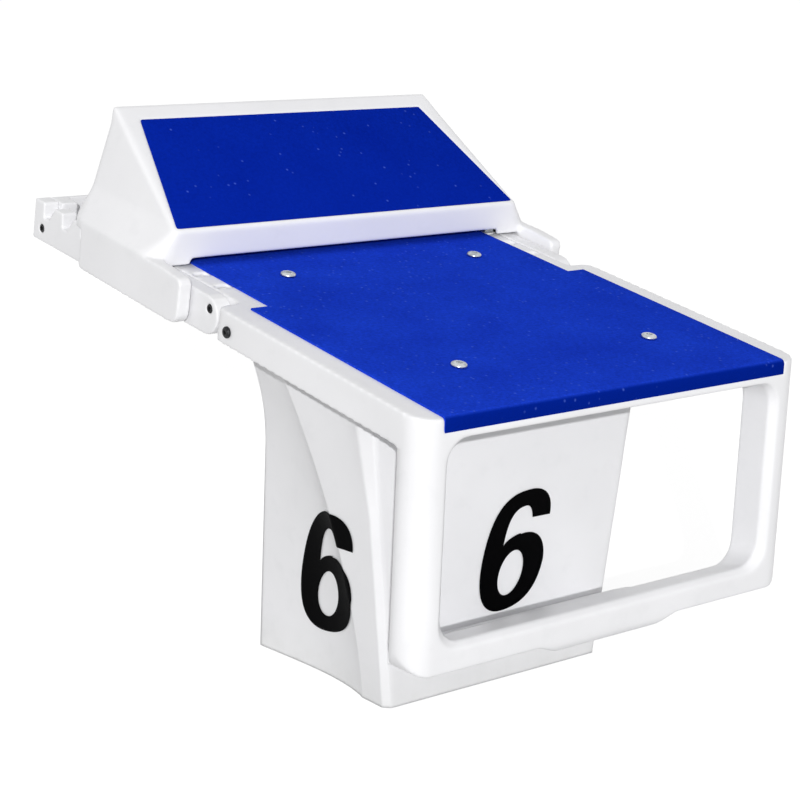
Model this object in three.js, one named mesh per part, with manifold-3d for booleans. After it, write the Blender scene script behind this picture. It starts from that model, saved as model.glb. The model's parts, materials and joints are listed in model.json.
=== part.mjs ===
// A swimming starting block: a sloping deck with a front grip frame on a flared pedestal,
// and a kick plate that slides on two notched rails behind the deck.
// Millimetres, +Z up. The origin is the middle of the base plate's underside.
// +X is the left-to-right way across the front, +Y runs from the pool to the back.
// "Deck" places are across, along (back from the front edge) and up from the tread's face.

import * as THREE from 'three';
import { mergeVertices } from 'three/addons/utils/BufferGeometryUtils.js';
import Module from 'manifold-3d';

const wasm = await Module();
wasm.setup();

// Whole block
const deckHeight = 385;
const deckSlope = THREE.MathUtils.degToRad(8.4);
const seatGap = 0.3;
const cutOverrun = 2;
const cornerSteps = 4;
const broadSteps = 8;
const roundSteps = 20;

// Platform moulding: deck
const deckHalfWidth = 280;
const deckWideLength = 352;
const deckCornerRadius = 28;
const shoulderRadius = 14;
const shoulderInnerRadius = 8;
const deckThickness = 6;
const skirtDepth = 40;
const skirtThickness = 5;
const shoulderWidth = 32;
const tongueReach = 288;
const tongueDepth = 44;

// Tread of the deck
const treadThickness = 2.7;
const treadBorder = 30;
const treadShoulderMargin = 22;
const treadSideMargin = 24;
const treadRearMargin = 40;
const treadFoldDepth = 17.5;
const treadFoldRadius = 6;

// Rails
const railThickness = 20;
const railFrontGap = 10;
const railNoseRadius = 22;
const railTail = 118;
const railRearDepth = 52;
const notchPitch = 43;
const notchCount = 5;
const notchDepth = 19;
const notchFloor = 11;
const notchRamp = 13;
const toothDrop = 1;
const notchRadius = 3;
const railPostLength = 22;

// Front grip frame
const legWidth = 42;
const legRearRadius = 20;
const frameDepth = 48;
const windowHeadDepth = 25;
const windowSillDepth = 238;
const sillFall = 11;
const barHeight = 32;
const frameOuterRadius = 25;
const windowRadius = 28;
const windowEase = 8;
const barEdgeRadius = 12;
const gripDrop = 12;
const gripHalfWidth = 72;
const gripBlend = 30;
const webHalfWidth = 96;
const webEndHalfWidth = 166;
const webEndTopHeight = 65;
const webFallShare = 1.4;
const webUnderFallShare = 0.7;
const webFilletRadius = 13.5;
const webHeight = 20;
const webEndHeight = 13;
const webRadius = 6;
const webSteps = 8;

// Pedestal
const pedestalSetback = 175;
const pedestalDepth = 239;
const pedestalHalfWidth = 162;
const pedestalDraftShare = 0.126;
const pedestalWall = 5;
const pedestalTopDepth = 46;
const pedestalCornerRadius = 3;
const pedestalChamfer = 7;
const upperChamfer = 22;
const upperChamferBase = 222;
const upperDish = 6;
const rearHalfWidth = 161;
const rearFlare = 39;
const rearFlareHeight = 140;
const creaseFootSetback = 42;
const creaseSweep = 128;
const dishDepth = 10;
const dishSkewShare = 0.4;
const dishSpacingShare = 1.8;
const dishSteps = 8;
const upperDishSteps = 5;
const pedestalLevels = 12;
const pedestalMouthHalfWidth = 104;
const pedestalMouthMargin = 16;

// Steel support inside the pedestal
const baseLength = 205;
const baseWidth = 280;
const baseThickness = 12;
const anchorRadius = 9;
const anchorMargin = 28;
const columnSize = 120;
const columnWall = 5;
const headPlateWidth = 200;
const headPlateLength = 180;
const headPlateThickness = 7;
const cableHoleRadius = 30;
const gussetLength = 45;
const gussetHeight = 80;
const gussetThickness = 8;

// Steel frame under the deck
const bearerSize = 30;
const bearerWall = 2.5;
const bearerStart = 75;
const bearerEndMargin = 30;
const frontCrossAlong = 235;
const rearCrossInset = 27;
const crossEndWall = 4;
const frameBoltAcross = 70;
const frameBoltRadius = 4;
const frameBoltHeadRadius = 6.5;
const frameBoltHeadHeight = 8;
const frameBoltLength = 22;
const frameBoltSocket = 3.4;
const frameBoltSocketDepth = 4;

// Fasteners
const deckBoltAcross = 141;
const deckBoltFront = 108;
const deckBoltRearReach = 58;
const deckBoltRadius = 5;
const deckBoltHeadRadius = 9;
const deckBoltHeadHeight = 3.6;
const deckBoltLength = 24;
const deckBoltSocket = 3.4;
const deckBoltSocketDepth = 2.2;
const nutRadius = 9.5;
const nutHeight = 8;
const railBoltRadius = 3;
const railBoltHeadRadius = 5;
const railBoltHeadHeight = 6;
const railBoltLength = 26;
const railBoltSocket = 2.8;
const railBoltSocketDepth = 3;
const railBoltFrontInset = 17;
const railBoltFrontDepth = 17;
const railBoltMidInset = 40;
const railBoltMidDepth = 27;
const railBoltRearInset = 19;
const railBoltRearDepth = 36;
const sideBoltRadius = 3;
const sideBoltHeadRadius = 6.5;
const sideBoltHeadHeight = 3.5;
const sideBoltLength = 9;
const sideBoltDepth = 24;
const sideBoltSocket = 2.3;
const sideBoltSocketDepth = 2;
const bossLength = 26;
const bossReach = 15;
const bossDepth = 40;

// Rear cross member
const crossMemberThickness = 8;
const crossMemberTab = 22;

// Kick plate
const kickStart = 169;
const kickLength = 186;
const kickHeight = 136;
const kickLipClearance = 7.4;
const kickLipHeight = 41;
const kickRidgeInset = 44;
const kickFootInset = 12;
const kickSkirtOverhang = 8;
const kickFlareTop = 46;
const kickFlareBottom = 12;
const kickFlareShare = 1.7;
const kickRadiusShare = 0.45;
const kickSlope = THREE.MathUtils.degToRad(27.9);
const kickWall = 6;
const kickSlopeWall = 9;
const kickFrontRadius = 8;
const kickFrontFootRadius = 28;
const kickRearTopRadius = 11;
const kickRearFootRadius = 36;
const kickFootCover = 5;
const kickFootThickness = 5.7;
const kickLipInset = 47;
const kickSkirtLead = 61;
const kickSkirtStop = 37;
const kickSkirtDrop = 46;
const kickSkirtGap = 3;
const kickSweepLength = 40;
const kickSweepHeight = 10;
const kickSkirtRadius = 14;
const kickSweepRise = 7;
const kickSweepRadius = 8;

// Tread of the kick plate
const panelTopInset = 68;
const panelBottomInset = 27;
const panelStart = 5.5;
const panelLength = 176;

// Lock of the kick plate
const lockStroke = 18.5;
const lugLift = 1.5;
const lockBarHeight = 8;
const lockBarDepth = 9.4;
const lockBarUnder = 25;
const frontLugSetback = 26;
const restNotch = 3;
const frontLugCover = 22;
const frontLugWidth = 14;
const slotLength = 11;
const slotMargin = 2;
const slotCount = 6;
const slotsAhead = 2;
const lockLinkWidth = 13;
const rearLugInset = 1.5;
const rearLugWidth = 8.5;
const lugPassMargin = 3;
const guidePinRadius = 3;
const guidePinHeight = 34;
const guidePinInset = 7;
const guidePinFront = 55;
const guidePinSpacing = 54;
const handleHalfWidth = 40;
const handleReach = 22;
const handleLip = 7;
const handleSlotMargin = 4;
const padLength = 30;
const padWidth = 22;
const padPegRadius = 4;
const padPegHeight = 5;
const padFrontInset = 15;
const padRearInset = 14;

// Numerals
const numeralThickness = 0.8;
const numeralSteps = 7;
const frontNumeralHeight = 139.6;
const frontNumeralWidth = 96.3;
const frontNumeralLean = 23.9;
const frontNumeralRise = 9.2;
const frontNumeralLeft = -43.3;
const frontNumeralBottom = 79.5;
const sideNumeralHeight = 155.1;
const sideNumeralWidth = 115.1;
const sideNumeralLean = 28.7;
const sideNumeralRise = 19.1;
const sideNumeralBack = 350.6;
const sideNumeralBottom = 44.9;

// Web bolts
const webBoltAcross = 55;
const webBoltRadius = 3;
const webBoltHeadRadius = 5;
const webBoltHeadHeight = 6;
const webBoltSocket = 2.5;
const webBoltSocketDepth = 3;
const webBoltReach = 14;
const webBoltRise = 2;

// Places that follow
const frontY = -(pedestalSetback + pedestalDepth / 2);
const webBoltHeight = webEndTopHeight + webBoltRise;
const tongueHalfWidth = deckHalfWidth - shoulderWidth;
const tongueLength = deckWideLength + tongueReach;
const rearCrossAlong = deckWideLength - rearCrossInset;
const deckBoltRear = deckWideLength + deckBoltRearReach;
const bearerEnd = deckBoltRear + bearerEndMargin;
const treadHalfWidth = deckHalfWidth - treadBorder;
const treadNarrowHalfWidth = tongueHalfWidth - treadSideMargin;
const treadWideLength = deckWideLength - treadShoulderMargin;
const treadLength = tongueLength - treadRearMargin;
const deckTop = treadThickness + seatGap;
const deckUnderside = deckTop + deckThickness;
const bearerTop = deckUnderside + seatGap;
const bearerBottom = bearerTop + bearerSize;
const headPlateTop = bearerBottom + seatGap;
const railTop = deckTop;
const railInner = tongueHalfWidth + seatGap;
const railOuter = railInner + railThickness;
const railFront = deckWideLength + railFrontGap;
const railEnd = tongueLength + railTail;
const lastNotchWall = railEnd - railPostLength;
const railBoltFrontAlong = railFront + railBoltFrontInset;
const railBoltMidAlong = tongueLength - railBoltMidInset;
const railBoltRearAlong = railEnd - railBoltRearInset;
const kickFront = tongueLength - kickStart;
const kickRear = kickFront + kickLength;
const kickRidgeHalfWidth = deckHalfWidth - kickRidgeInset;
const kickFootHalfWidth = deckHalfWidth - kickFootInset;
const kickSkirtHalfWidth = deckHalfWidth + kickSkirtOverhang;
const kickFootInner = tongueHalfWidth - kickFootCover;
const kickLipHalfWidth = deckHalfWidth - kickLipInset;
const kickSkirtFront = kickFront - kickSkirtLead;
const kickSkirtEnd = kickRear - kickSkirtStop;
const panelTopHalfWidth = deckHalfWidth - panelTopInset;
const panelBottomHalfWidth = deckHalfWidth - panelBottomInset;
const frontLugInner = tongueHalfWidth - frontLugCover;
const frontLugWall = kickFront + frontLugSetback;
const rearLugWall = lastNotchWall - restNotch * notchPitch;
const firstSlotWall = frontLugWall - slotsAhead * notchPitch;
const guidePinAlong = [kickFront + guidePinFront, kickFront + guidePinFront + guidePinSpacing];
const padAlong = [kickFront + padFrontInset, kickRear - padRearInset - padLength];
const kickSkirtInner = railOuter + kickSkirtGap;
const barUnder = windowSillDepth + barHeight;
const windowHalfWidth = deckHalfWidth - legWidth;
const pedestalFrontY = frontY + pedestalSetback;
const pedestalRearY = pedestalFrontY + pedestalDepth;

const deckMatrix = new THREE.Matrix4().makeRotationX(deckSlope).setPosition(0, frontY, deckHeight);
const frontMatrix = new THREE.Matrix4().makeTranslation(0, frontY, deckHeight);
const unmoved = new THREE.Matrix4();
const xAxis = new THREE.Vector3(1, 0, 0);
const yAxis = new THREE.Vector3(0, 1, 0);
const zAxis = new THREE.Vector3(0, 0, 1);
const sideBasis = new THREE.Matrix4().makeBasis(yAxis, zAxis, xAxis);
const frontBasis = new THREE.Matrix4().makeBasis(xAxis, zAxis, yAxis.clone().negate());

// Outlines

// Corners are [across, up, radius]; each round corner becomes an arc.
function roundedOutline(corners, steps = cornerSteps) {
  const points = [];
  corners.forEach(([x, y, radius], i) => {
    const here = new THREE.Vector2(x, y);
    if (!radius) {
      points.push(here);
      return;
    }
    const [beforeX, beforeY] = corners[(i + corners.length - 1) % corners.length];
    const [afterX, afterY] = corners[(i + 1) % corners.length];
    const back = new THREE.Vector2(beforeX, beforeY).sub(here).normalize();
    const on = new THREE.Vector2(afterX, afterY).sub(here).normalize();
    const halfAngle = Math.acos(back.dot(on)) / 2;
    const middle = back.clone().add(on).normalize();
    const centre = here.clone().addScaledVector(middle, radius / Math.sin(halfAngle));
    const start = here.clone().addScaledVector(back, radius / Math.tan(halfAngle)).sub(centre);
    const end = here.clone().addScaledVector(on, radius / Math.tan(halfAngle)).sub(centre);
    const sweep = Math.atan2(start.cross(end), start.dot(end));
    for (let k = 0; k <= steps; k++) {
      const angle = start.angle() + sweep * k / steps;
      points.push(new THREE.Vector2(Math.cos(angle), Math.sin(angle)).multiplyScalar(radius).add(centre));
    }
  });
  return points;
}

function rectangle(left, right, low, high, radius = 0, steps = cornerSteps) {
  return roundedOutline(
    [[left, low, radius], [right, low, radius], [right, high, radius], [left, high, radius]],
    steps);
}

// Makes the left half of an outline from its right half, and joins the two.
function mirroredCorners(rightHalf) {
  const leftHalf = rightHalf.map(([x, y, radius]) => [-x, y, radius]).reverse();
  return [...rightHalf, ...leftHalf];
}

// Solids

function solidOf(geometry, matrix = unmoved) {
  const placed = geometry.clone().applyMatrix4(matrix);
  placed.deleteAttribute('normal');
  placed.deleteAttribute('uv');
  const merged = mergeVertices(placed);
  return new wasm.Manifold(new wasm.Mesh({
    numProp: 3,
    vertProperties: new Float32Array(merged.attributes.position.array),
    triVerts: new Uint32Array(merged.index.array),
  }));
}

function geometryOf(solid) {
  const mesh = solid.getMesh();
  const geometry = new THREE.BufferGeometry();
  geometry.setAttribute('position', new THREE.BufferAttribute(mesh.vertProperties, 3));
  geometry.setIndex(new THREE.BufferAttribute(mesh.triVerts, 1));
  geometry.computeVertexNormals();
  return geometry;
}

function extruded(outline, depth, hole) {
  const shape = new THREE.Shape(outline);
  if (hole) shape.holes.push(new THREE.Path(hole));
  return new THREE.ExtrudeGeometry(shape, { depth, bevelEnabled: false });
}

// The outline lies in plan, and the solid stands on it.
function upright(outline, low, high, matrix = unmoved) {
  return solidOf(extruded(outline, high - low).translate(0, 0, low), matrix);
}

// The outline is [along, up], and the solid runs across.
function across(outline, left, right, matrix = unmoved) {
  return solidOf(extruded(outline, right - left).translate(0, 0, left).applyMatrix4(sideBasis), matrix);
}

// The outline is [across, up], and the solid runs back.
function backward(outline, near, far, matrix = unmoved) {
  return solidOf(extruded(outline, far - near).translate(0, 0, -far).applyMatrix4(frontBasis), matrix);
}

function block(left, right, near, far, low, high, matrix = unmoved) {
  return upright(rectangle(left, right, near, far), low, high, matrix);
}

// A solid through a row of outlines that have as many points each.
function lofted(outlines, placeOf, matrix = unmoved) {
  const count = outlines[0].length;
  const last = outlines.length - 1;
  const positions = outlines.flatMap((outline, i) => outline.flatMap(point => placeOf(point, i).toArray()));
  const index = [];
  for (let i = 0; i < last; i++) {
    for (let j = 0; j < count; j++) {
      const a = i * count + j;
      const b = i * count + (j + 1) % count;
      index.push(a, b, b + count, a, b + count, a + count);
    }
  }
  THREE.ShapeUtils.triangulateShape(outlines[0], []).forEach(([a, b, c]) => index.push(c, b, a));
  THREE.ShapeUtils.triangulateShape(outlines[last], []).forEach(([a, b, c]) => {
    index.push(last * count + a, last * count + b, last * count + c);
  });
  const geometry = new THREE.BufferGeometry();
  geometry.setAttribute('position', new THREE.Float32BufferAttribute(positions, 3));
  geometry.setIndex(index);
  return solidOf(geometry, matrix);
}

function mirrored(solid) {
  return solid.mirror([1, 0, 0]);
}

function union(solids) {
  return solids.reduce((sum, next) => sum.add(next));
}

function without(solid, cuts) {
  return cuts.reduce((rest, cut) => rest.subtract(cut), solid);
}

// A round bar from one place to another.
function rod(from, to, radius, matrix = unmoved, sides = roundSteps) {
  const way = to.clone().sub(from);
  const turn = new THREE.Quaternion().setFromUnitVectors(yAxis, way.clone().normalize());
  const geometry = new THREE.CylinderGeometry(radius, radius, way.length(), sides);
  geometry.applyQuaternion(turn).translate(...from.clone().addScaledVector(way, 1 / 2));
  return solidOf(geometry, matrix);
}

// Everything under a plane that runs parallel to the deck.
function belowDeck(depth) {
  const size = deckHeight + tongueLength;
  return block(-size, size, -size, size, -size, -depth, deckMatrix);
}

function deckPoint(across, along, up) {
  return new THREE.Vector3(across, along, up);
}

// Platform moulding

function deckOutline(wide, wideLength, cornerRadius, narrow, length, shoulder, inner) {
  return roundedOutline(mirroredCorners([
    [wide, 0, cornerRadius],
    [wide, wideLength, shoulder],
    [narrow, wideLength, inner],
    [narrow, length, 0],
  ]), broadSteps);
}

function deckShell() {
  const outer = deckOutline(deckHalfWidth, deckWideLength, deckCornerRadius,
    tongueHalfWidth, tongueLength, shoulderRadius, shoulderInnerRadius);
  const hollowWide = rectangle(-deckHalfWidth + skirtThickness, deckHalfWidth - skirtThickness,
    frameDepth, deckWideLength - skirtThickness);
  const hollowNarrow = rectangle(-tongueHalfWidth + skirtThickness, tongueHalfWidth - skirtThickness,
    frameDepth, tongueLength - skirtThickness);
  const wideBox = block(-deckHalfWidth - cutOverrun, deckHalfWidth + cutOverrun,
    deckWideLength, tongueLength + cutOverrun, -tongueDepth - cutOverrun, 0, deckMatrix);
  const plate = upright(outer, -tongueDepth, -deckTop, deckMatrix);
  const wideTrim = block(-deckHalfWidth - cutOverrun, deckHalfWidth + cutOverrun,
    -cutOverrun, deckWideLength, -tongueDepth - cutOverrun, -skirtDepth, deckMatrix);
  const wideHollow = upright(hollowWide, -tongueDepth - cutOverrun, -deckUnderside, deckMatrix)
    .subtract(wideBox);
  const narrowHollow = upright(hollowNarrow, -tongueDepth - cutOverrun, -deckUnderside, deckMatrix);
  return without(plate, [wideTrim, wideHollow, narrowHollow, gripWindow()]);
}

function gripOutline() {
  const blendStart = gripHalfWidth + gripBlend;
  return roundedOutline([
    [gripHalfWidth, -barUnder - gripDrop, gripBlend / 2],
    ...mirroredCorners([
      [blendStart, -barUnder, gripBlend],
      [deckHalfWidth, -barUnder, frameOuterRadius],
      [deckHalfWidth, deckTop, 0],
    ]),
    [-gripHalfWidth, -barUnder - gripDrop, gripBlend / 2],
  ], broadSteps);
}

// The window widens towards its front edge, and its sill falls towards the back.
function gripWindow() {
  const sections = [
    { y: frameDepth + cutOverrun, grow: 0 },
    { y: windowEase, grow: 0 },
    { y: -cutOverrun, grow: windowEase + cutOverrun },
  ];
  const outlines = sections.map(({ y, grow }) => rectangle(
    -windowHalfWidth - grow, windowHalfWidth + grow,
    -windowSillDepth - sillFall * y / frameDepth - grow, -windowHeadDepth,
    windowRadius, broadSteps));
  return lofted(outlines, (point, i) => new THREE.Vector3(point.x, sections[i].y, point.y), frontMatrix);
}

function gripFrame() {
  const ring = backward(gripOutline(), 0, frameDepth, frontMatrix);
  const plan = upright(roundedOutline([
    [-deckHalfWidth, 0, deckCornerRadius],
    [deckHalfWidth, 0, deckCornerRadius],
    [deckHalfWidth, frameDepth, legRearRadius],
    [-deckHalfWidth, frameDepth, legRearRadius],
  ], broadSteps), -barUnder - gripDrop - cutOverrun, deckTop + frameDepth, frontMatrix);
  const side = across(roundedOutline([
    [0, -barUnder - gripDrop, barEdgeRadius],
    [frameDepth, -barUnder - gripDrop, barEdgeRadius],
    [frameDepth, frameDepth, 0],
    [0, frameDepth, 0],
  ]), -deckHalfWidth - cutOverrun, deckHalfWidth + cutOverrun, frontMatrix);
  return ring.intersect(plan).intersect(side).intersect(belowDeck(deckTop)).subtract(gripWindow());
}

// The web falls from the sill to the pedestal and curls up where it meets it.
function gripWeb() {
  const start = frameDepth - barEdgeRadius;
  const end = pedestalSetback - seatGap;
  const sill = -windowSillDepth - sillFall;
  const foot = webEndTopHeight - deckHeight;
  const outlines = [];
  const places = [];
  for (let i = 0; i <= webSteps; i++) {
    const share = (i / webSteps) ** 2;
    const y = end + (start - end) * share;
    const back = 1 - share;
    const halfWidth = webHalfWidth + (webEndHalfWidth - webHalfWidth) * back ** 2;
    const curl = Math.max(0, webFilletRadius - end + y);
    const rise = webFilletRadius - Math.sqrt(webFilletRadius ** 2 - curl ** 2);
    const top = sill + (foot - sill) * back ** webFallShare + rise;
    const under = sill - webHeight + (foot - webEndHeight - sill + webHeight) * back ** webUnderFallShare;
    outlines.push(rectangle(-halfWidth, halfWidth, under, top, webRadius));
    places.push(y);
  }
  return lofted(outlines, (point, i) => new THREE.Vector3(point.x, places[i], point.y), frontMatrix);
}

function railBosses() {
  return [railBoltFrontAlong, railBoltMidAlong].map(along => block(
    tongueHalfWidth - skirtThickness - bossReach, tongueHalfWidth - skirtThickness + cutOverrun,
    along - bossLength / 2, along + bossLength / 2, -bossDepth, -deckUnderside + cutOverrun, deckMatrix));
}

function foldRecess() {
  const reach = treadWideLength;
  const slopeTan = Math.tan(deckSlope);
  const lift = deckTop / Math.cos(deckSlope);
  return across(roundedOutline([
    [-cutOverrun, -treadFoldDepth - seatGap, 0],
    [deckTop, -treadFoldDepth - seatGap, 0],
    [deckTop, deckTop * slopeTan - lift, treadFoldRadius - treadThickness],
    [reach, reach * slopeTan - lift, 0],
    [reach, reach * slopeTan, 0],
    [-cutOverrun, deckTop, 0],
  ]), -treadHalfWidth - seatGap, treadHalfWidth + seatGap, frontMatrix);
}

function slotCuts() {
  const cuts = [];
  for (let i = 0; i < slotCount; i++) {
    const wall = firstSlotWall + i * notchPitch;
    cuts.push(block(frontLugInner - slotMargin, frontLugInner + frontLugWidth + slotMargin,
      wall - slotLength, wall, -deckUnderside - cutOverrun, cutOverrun, deckMatrix));
  }
  return cuts;
}

const railBolts = [
  { name: 'front', along: railBoltFrontAlong, depth: railBoltFrontDepth },
  { name: 'middle', along: railBoltMidAlong, depth: railBoltMidDepth },
  { name: 'rear', along: railBoltRearAlong, depth: railBoltRearDepth },
];

const deckBolts = [
  { name: 'front_left', u: -deckBoltAcross, v: deckBoltFront },
  { name: 'front_right', u: deckBoltAcross, v: deckBoltFront },
  { name: 'rear_left', u: -deckBoltAcross, v: deckBoltRear },
  { name: 'rear_right', u: deckBoltAcross, v: deckBoltRear },
];

function bothSides(solids) {
  return [...solids, ...solids.map(mirrored)];
}

function deckBoltHoles() {
  return deckBolts.map(({ u, v }) => rod(deckPoint(u, v, -deckBoltLength - cutOverrun),
    deckPoint(u, v, cutOverrun), deckBoltRadius + seatGap, deckMatrix));
}

function railBoltHoles(radius, reach) {
  return railBolts.map(({ along, depth }) => rod(deckPoint(railOuter - reach, along, -depth),
    deckPoint(railOuter + cutOverrun, along, -depth), radius, deckMatrix));
}

const railBoltReach = railBoltHeadHeight + seatGap + railBoltLength + seatGap;

function platformMoulding() {
  const whole = union([deckShell(), gripFrame(), gripWeb(), ...bothSides(railBosses())]);
  const sideHole = rod(deckPoint(deckHalfWidth - skirtThickness - cutOverrun, rearCrossAlong, -sideBoltDepth),
    deckPoint(deckHalfWidth + cutOverrun, rearCrossAlong, -sideBoltDepth),
    sideBoltRadius + seatGap, deckMatrix);
  return without(whole, [
    foldRecess(),
    ...deckBoltHoles(),
    ...bothSides([...slotCuts(), sideHole, ...railBoltHoles(railBoltRadius + seatGap, railBoltReach)]),
    ...webBoltHoles(),
  ]);
}

// Deck tread

function deckTread() {
  const slopeTan = Math.tan(deckSlope);
  const lift = treadThickness / Math.cos(deckSlope);
  const reach = treadWideLength * Math.cos(deckSlope);
  const wide = across(roundedOutline([
    [0, -treadFoldDepth, 0],
    [treadThickness, -treadFoldDepth, 0],
    [treadThickness, treadThickness * slopeTan - lift, treadFoldRadius - treadThickness],
    [reach, reach * slopeTan - lift, 0],
    [reach, reach * slopeTan, 0],
    [0, 0, treadFoldRadius],
  ]), -treadHalfWidth, treadHalfWidth, frontMatrix);
  const narrow = block(-treadNarrowHalfWidth, treadNarrowHalfWidth, treadWideLength - treadThickness - cutOverrun,
    treadLength, -treadThickness, 0, deckMatrix);
  return without(wide.add(narrow), deckBoltHoles());
}

// Rails and the rear cross member

function railOutline() {
  const noseLow = railTop + railNoseRadius + railNoseRadius;
  const corners = [
    [railFront, -railTop, railNoseRadius],
    [railFront, -noseLow, railNoseRadius],
    [railEnd, -railRearDepth, 0],
    [railEnd, -railTop, 0],
    [lastNotchWall, -railTop, notchRadius],
  ];
  for (let i = 0; i < notchCount; i++) {
    const wall = lastNotchWall - i * notchPitch;
    const rampTop = wall - notchFloor - notchRamp;
    corners.push(
      [wall, -railTop - notchDepth, notchRadius],
      [wall - notchFloor, -railTop - notchDepth, notchRadius],
      [rampTop, -railTop - toothDrop, 0],
    );
    if (i + 1 < notchCount) corners.push([wall - notchPitch, -railTop - toothDrop, notchRadius]);
    else corners.push([rampTop - toothDrop, -railTop, 0]);
  }
  return roundedOutline(corners);
}

function rail() {
  const bar = across(railOutline(), railInner, railOuter, deckMatrix);
  return without(bar, [
    ...railBoltHoles(railBoltRadius + seatGap, railThickness + cutOverrun),
    ...railBoltHoles(railBoltHeadRadius + seatGap, railBoltHeadHeight + 2 * seatGap),
  ]);
}

function rearCrossMember() {
  const half = tongueHalfWidth;
  const panel = block(-half, half, railEnd - crossMemberThickness, railEnd,
    -railRearDepth, -railTop, deckMatrix);
  const tab = block(half - crossMemberTab, half, railEnd - railPostLength - crossMemberThickness,
    railEnd - crossMemberThickness + cutOverrun, -railRearDepth, -railTop, deckMatrix);
  return without(union([panel, ...bothSides([tab])]),
    bothSides(railBoltHoles(railBoltRadius + seatGap, railBoltReach)));
}

// Pedestal

function pedestalHalf(height, inset) {
  const frontHalf = pedestalHalfWidth + pedestalDraftShare * height - inset;
  const flare = Math.max(0, 1 - (deckHeight - height) / rearFlareHeight);
  const rearHalf = rearHalfWidth + rearFlare * flare ** 2 - inset;
  const front = pedestalFrontY + inset;
  const rear = pedestalRearY - inset;
  const crease = pedestalFrontY + creaseFootSetback + creaseSweep * (height / deckHeight) ** 2;
  const upperShare = Math.max(0, (height - upperChamferBase) / (deckHeight - upperChamferBase));
  const chamfer = pedestalChamfer + upperChamfer * upperShare;
  const side = [];
  for (let k = 1; k < upperDishSteps; k++) {
    const share = (k / upperDishSteps) ** dishSpacingShare;
    const sag = upperDish * upperShare * Math.sin(Math.PI * share ** dishSkewShare);
    side.push([frontHalf - sag, front + chamfer + (crease - front - chamfer) * share, 0]);
  }
  for (let k = 0; k <= dishSteps; k++) {
    const share = (k / dishSteps) ** dishSpacingShare;
    const sag = dishDepth * Math.sin(Math.PI * share ** dishSkewShare);
    side.push([frontHalf + (rearHalf - frontHalf) * share - sag, crease + (rear - crease) * share, 0]);
  }
  return [
    [frontHalf - pedestalChamfer, front, pedestalCornerRadius],
    [frontHalf, front + chamfer, pedestalCornerRadius],
    ...side,
  ];
}

function pedestalBody(inset, topDepth, low) {
  const outlines = [];
  const heights = [];
  for (let i = 0; i <= pedestalLevels; i++) {
    const height = low + (deckHeight + deckCornerRadius - low) * i / pedestalLevels;
    outlines.push(roundedOutline(mirroredCorners(pedestalHalf(height, inset))));
    heights.push(height);
  }
  return lofted(outlines, (point, i) => new THREE.Vector3(point.x, point.y, heights[i]))
    .intersect(belowDeck(topDepth));
}

function webBoltHoles() {
  return [-webBoltAcross, webBoltAcross].map(x => rod(
    new THREE.Vector3(x, pedestalSetback - webBoltReach - seatGap, webBoltHeight - deckHeight),
    new THREE.Vector3(x, pedestalSetback + pedestalWall + cutOverrun, webBoltHeight - deckHeight),
    webBoltRadius + seatGap, frontMatrix));
}

function pedestalShell() {
  const outer = pedestalBody(0, pedestalTopDepth, 0);
  const inner = pedestalBody(pedestalWall, pedestalTopDepth + pedestalWall, -cutOverrun);
  const mouth = block(-pedestalMouthHalfWidth, pedestalMouthHalfWidth, pedestalFrontY + pedestalMouthMargin,
    pedestalRearY - pedestalMouthMargin, deckHeight / 2, deckHeight + deckCornerRadius);
  return without(outer, [inner, mouth, ...webBoltHoles()]);
}

// Steel support

function headCentre() {
  const depth = headPlateTop + headPlateThickness;
  return (-frontY - depth * Math.sin(deckSlope)) / Math.cos(deckSlope);
}

function supportPost() {
  const base = block(-baseWidth / 2, baseWidth / 2, -baseLength / 2, baseLength / 2, 0, baseThickness);
  const half = columnSize / 2;
  const bore = half - columnWall;
  const tall = deckHeight;
  const column = block(-half, half, -half, half, baseThickness - cutOverrun, tall)
    .subtract(block(-bore, bore, -bore, bore, baseThickness, tall + cutOverrun))
    .intersect(belowDeck(headPlateTop + headPlateThickness - cutOverrun));
  const along = headCentre();
  const plate = block(-headPlateWidth / 2, headPlateWidth / 2, along - headPlateLength / 2,
    along + headPlateLength / 2, -headPlateTop - headPlateThickness, -headPlateTop, deckMatrix);
  const cableHole = rod(deckPoint(0, along, -headPlateTop - headPlateThickness - cutOverrun),
    deckPoint(0, along, 0), cableHoleRadius, deckMatrix);
  const gusset = backward(roundedOutline([
    [half - columnWall, baseThickness - cutOverrun, 0],
    [half + gussetLength, baseThickness - cutOverrun, 0],
    [half, baseThickness + gussetHeight, 0],
    [half - columnWall, baseThickness + gussetHeight, 0],
  ]), -gussetThickness / 2, gussetThickness / 2);
  const holes = [-1, 1].flatMap(sx => [-1, 1].map(sy => {
    const x = sx * (baseWidth / 2 - anchorMargin);
    const y = sy * (baseLength / 2 - anchorMargin);
    return rod(new THREE.Vector3(x, y, -cutOverrun),
      new THREE.Vector3(x, y, baseThickness + cutOverrun), anchorRadius);
  }));
  return without(union([base, column, plate, ...bothSides([gusset])]),
    [cableHole, ...holes, ...frameBoltHoles()]);
}

const frameBolts = [frontCrossAlong, rearCrossAlong].flatMap((v, i) => [-frameBoltAcross, frameBoltAcross].map(
  (u, j) => ({ name: `${['front', 'rear'][i]}_${['left', 'right'][j]}`, u, v })));

function frameBoltHoles() {
  return frameBolts.map(({ u, v }) => rod(deckPoint(u, v, -headPlateTop - headPlateThickness - cutOverrun),
    deckPoint(u, v, -bearerTop + cutOverrun), frameBoltRadius + seatGap, deckMatrix));
}

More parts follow.
